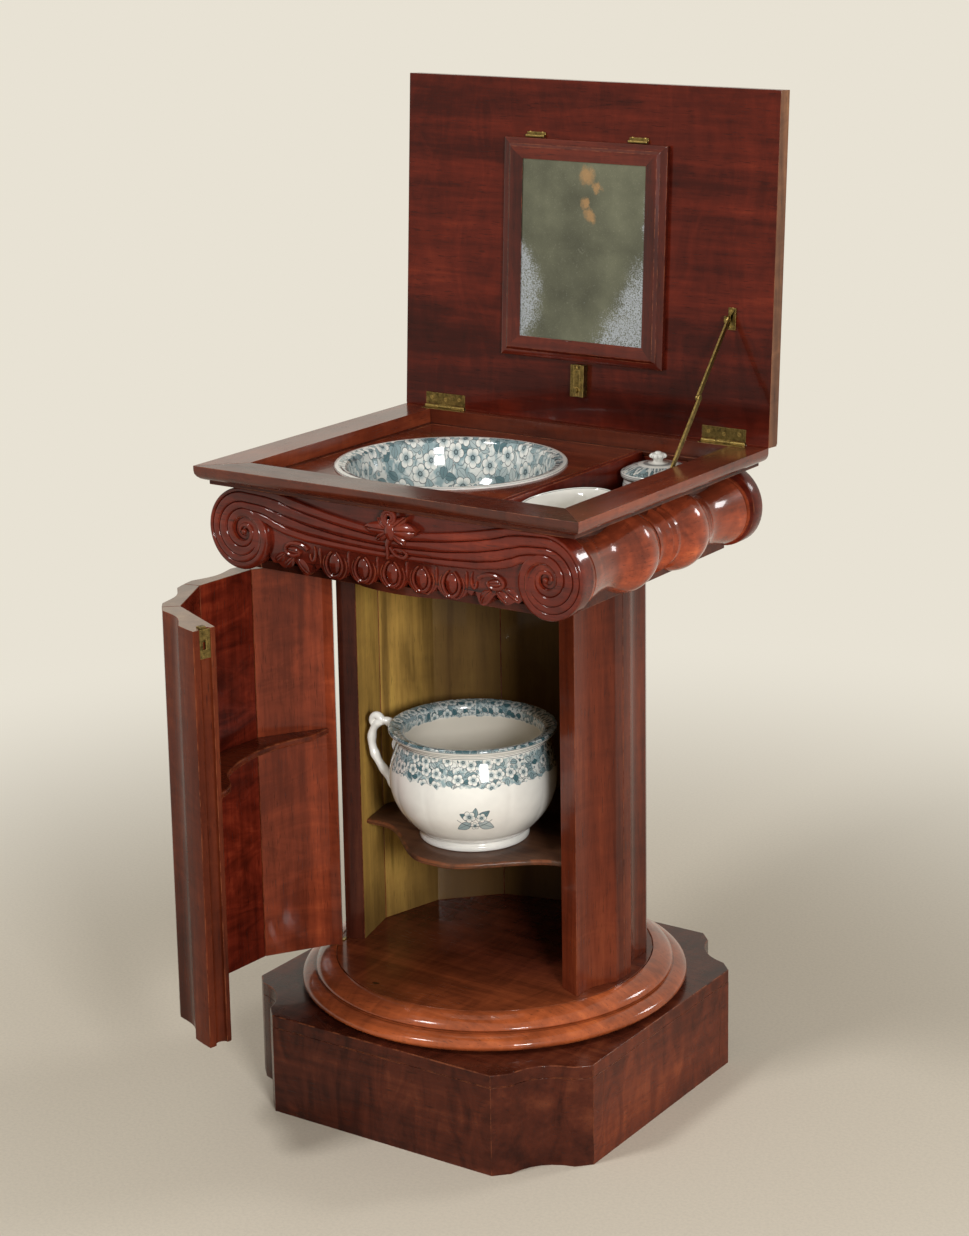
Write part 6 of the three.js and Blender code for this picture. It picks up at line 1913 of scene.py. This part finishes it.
def make_camera():
    az, el, roll = degrees(VIEW_AZIMUTH), degrees(VIEW_ELEVATION), degrees(VIEW_ROLL)
    back = Vector((math.sin(az) * math.cos(el), -math.cos(az) * math.cos(el), math.sin(el)))
    level = Vector((math.cos(az), math.sin(az), 0))
    upright = back.cross(level)
    right = level * math.cos(roll) + upright * math.sin(roll)
    up = upright * math.cos(roll) - level * math.sin(roll)
    lens = bpy.data.cameras.new("view_camera")
    lens.lens = VIEW_LENS
    lens.shift_x, lens.shift_y = VIEW_SHIFT
    camera = bpy.data.objects.new("view_camera", lens)
    turn = Matrix((right, up, back)).transposed().to_4x4()
    camera.matrix_world = Matrix.Translation(Vector(VIEW_TARGET) + back * VIEW_DISTANCE) @ turn
    bpy.context.scene.collection.objects.link(camera)
    bpy.context.scene.camera = camera
    bpy.context.scene.view_settings.view_transform = "Standard"


# Operators and panel


class WASHSTAND_OT_stage(bpy.types.Operator):
    """Sets the camera, the floor, the sky and the lamps"""

    bl_idname = "washstand.stage"
    bl_label = "Studio"

    def execute(self, context):
        make_camera()
        make_floor()
        make_world()
        make_lamps()
        return {"FINISHED"}


class WASHSTAND_OT_plinth(bpy.types.Operator):
    """Makes the plinth's boards"""

    bl_idname = "washstand.plinth"
    bl_label = "Plinth"

    def execute(self, context):
        make_plinth()
        return {"FINISHED"}


class WASHSTAND_OT_base(bpy.types.Operator):
    """Makes the round base mouldings and the cupboard's floor"""

    bl_idname = "washstand.base"
    bl_label = "Base mouldings"

    def execute(self, context):
        make_base()
        return {"FINISHED"}


class WASHSTAND_OT_column(bpy.types.Operator):
    """Makes the fluted staves that stand still and the cupboard's shelf"""

    bl_idname = "washstand.column"
    bl_label = "Column"

    def execute(self, context):
        make_column()
        make_shelf()
        return {"FINISHED"}


class WASHSTAND_OT_door(bpy.types.Operator):
    """Makes the door's staves, its shelf, its pivots and its catch"""

    bl_idname = "washstand.door"
    bl_label = "Door"

    def execute(self, context):
        make_door()
        return {"FINISHED"}


class WASHSTAND_OT_capital(bpy.types.Operator):
    """Makes the bolsters, the carved front, the plain back and the case between them"""

    bl_idname = "washstand.capital"
    bl_label = "Capital"

    def execute(self, context):
        make_capital()
        return {"FINISHED"}


class WASHSTAND_OT_top(bpy.types.Operator):
    """Makes the top's moulded rails and the basin board"""

    bl_idname = "washstand.top"
    bl_label = "Top"

    def execute(self, context):
        make_top()
        return {"FINISHED"}


class WASHSTAND_OT_lid(bpy.types.Operator):
    """Makes the lid and its looking glass"""

    bl_idname = "washstand.lid"
    bl_label = "Lid and looking glass"

    def execute(self, context):
        make_lid()
        return {"FINISHED"}


class WASHSTAND_OT_brass(bpy.types.Operator):
    """Makes the lid's brass: hinges, stay and sliding catch, with their screws"""

    bl_idname = "washstand.brass"
    bl_label = "Lid brass"

    def execute(self, context):
        make_brass()
        return {"FINISHED"}


class WASHSTAND_OT_basin(bpy.types.Operator):
    """Makes the wash basin"""

    bl_idname = "washstand.basin"
    bl_label = "Wash basin"

    def execute(self, context):
        make_basin()
        return {"FINISHED"}


class WASHSTAND_OT_jar(bpy.types.Operator):
    """Makes the jar and its cover"""

    bl_idname = "washstand.jar"
    bl_label = "Jar"

    def execute(self, context):
        make_jar()
        return {"FINISHED"}


class WASHSTAND_OT_dish(bpy.types.Operator):
    """Makes the soap dish"""

    bl_idname = "washstand.dish"
    bl_label = "Soap dish"

    def execute(self, context):
        make_dish()
        return {"FINISHED"}


class WASHSTAND_OT_pot(bpy.types.Operator):
    """Makes the chamber pot and its handle"""

    bl_idname = "washstand.pot"
    bl_label = "Chamber pot"

    def execute(self, context):
        make_pot()
        return {"FINISHED"}


OPERATORS = (WASHSTAND_OT_stage, WASHSTAND_OT_plinth, WASHSTAND_OT_base, WASHSTAND_OT_column,
             WASHSTAND_OT_door, WASHSTAND_OT_capital, WASHSTAND_OT_top, WASHSTAND_OT_lid,
             WASHSTAND_OT_brass, WASHSTAND_OT_basin, WASHSTAND_OT_jar, WASHSTAND_OT_dish, WASHSTAND_OT_pot)


class WASHSTAND_PT_sidebar(bpy.types.Panel):
    """Lists the washstand's operators, sizes and colours"""

    bl_idname = "WASHSTAND_PT_sidebar"
    bl_label = "Pedestal washstand"
    bl_space_type = "VIEW_3D"
    bl_region_type = "UI"
    bl_category = "Washstand"

    def draw(self, context):
        for operator in OPERATORS:
            self.layout.operator(operator.bl_idname)
        for group in (context.scene.washstand_sizes, context.scene.washstand_colours):
            box = self.layout.box()
            for name in type(group).__annotations__:
                box.prop(group, name)


CLASSES = (WashstandSizes, WashstandColours, *OPERATORS, WASHSTAND_PT_sidebar)


def register():
    for kind in CLASSES:
        bpy.utils.register_class(kind)
    bpy.types.Scene.washstand_sizes = bpy.props.PointerProperty(type=WashstandSizes)
    bpy.types.Scene.washstand_colours = bpy.props.PointerProperty(type=WashstandColours)


def unregister():
    del bpy.types.Scene.washstand_colours
    del bpy.types.Scene.washstand_sizes
    for kind in reversed(CLASSES):
        bpy.utils.unregister_class(kind)


def main():
    register()
    bpy.ops.washstand.stage()
    bpy.ops.washstand.plinth()
    bpy.ops.washstand.base()
    bpy.ops.washstand.column()
    bpy.ops.washstand.door()
    bpy.ops.washstand.capital()
    bpy.ops.washstand.top()
    bpy.ops.washstand.lid()
    bpy.ops.washstand.brass()
    bpy.ops.washstand.basin()
    bpy.ops.washstand.jar()
    bpy.ops.washstand.dish()
    bpy.ops.washstand.pot()


if __name__ == "__main__":
    main()
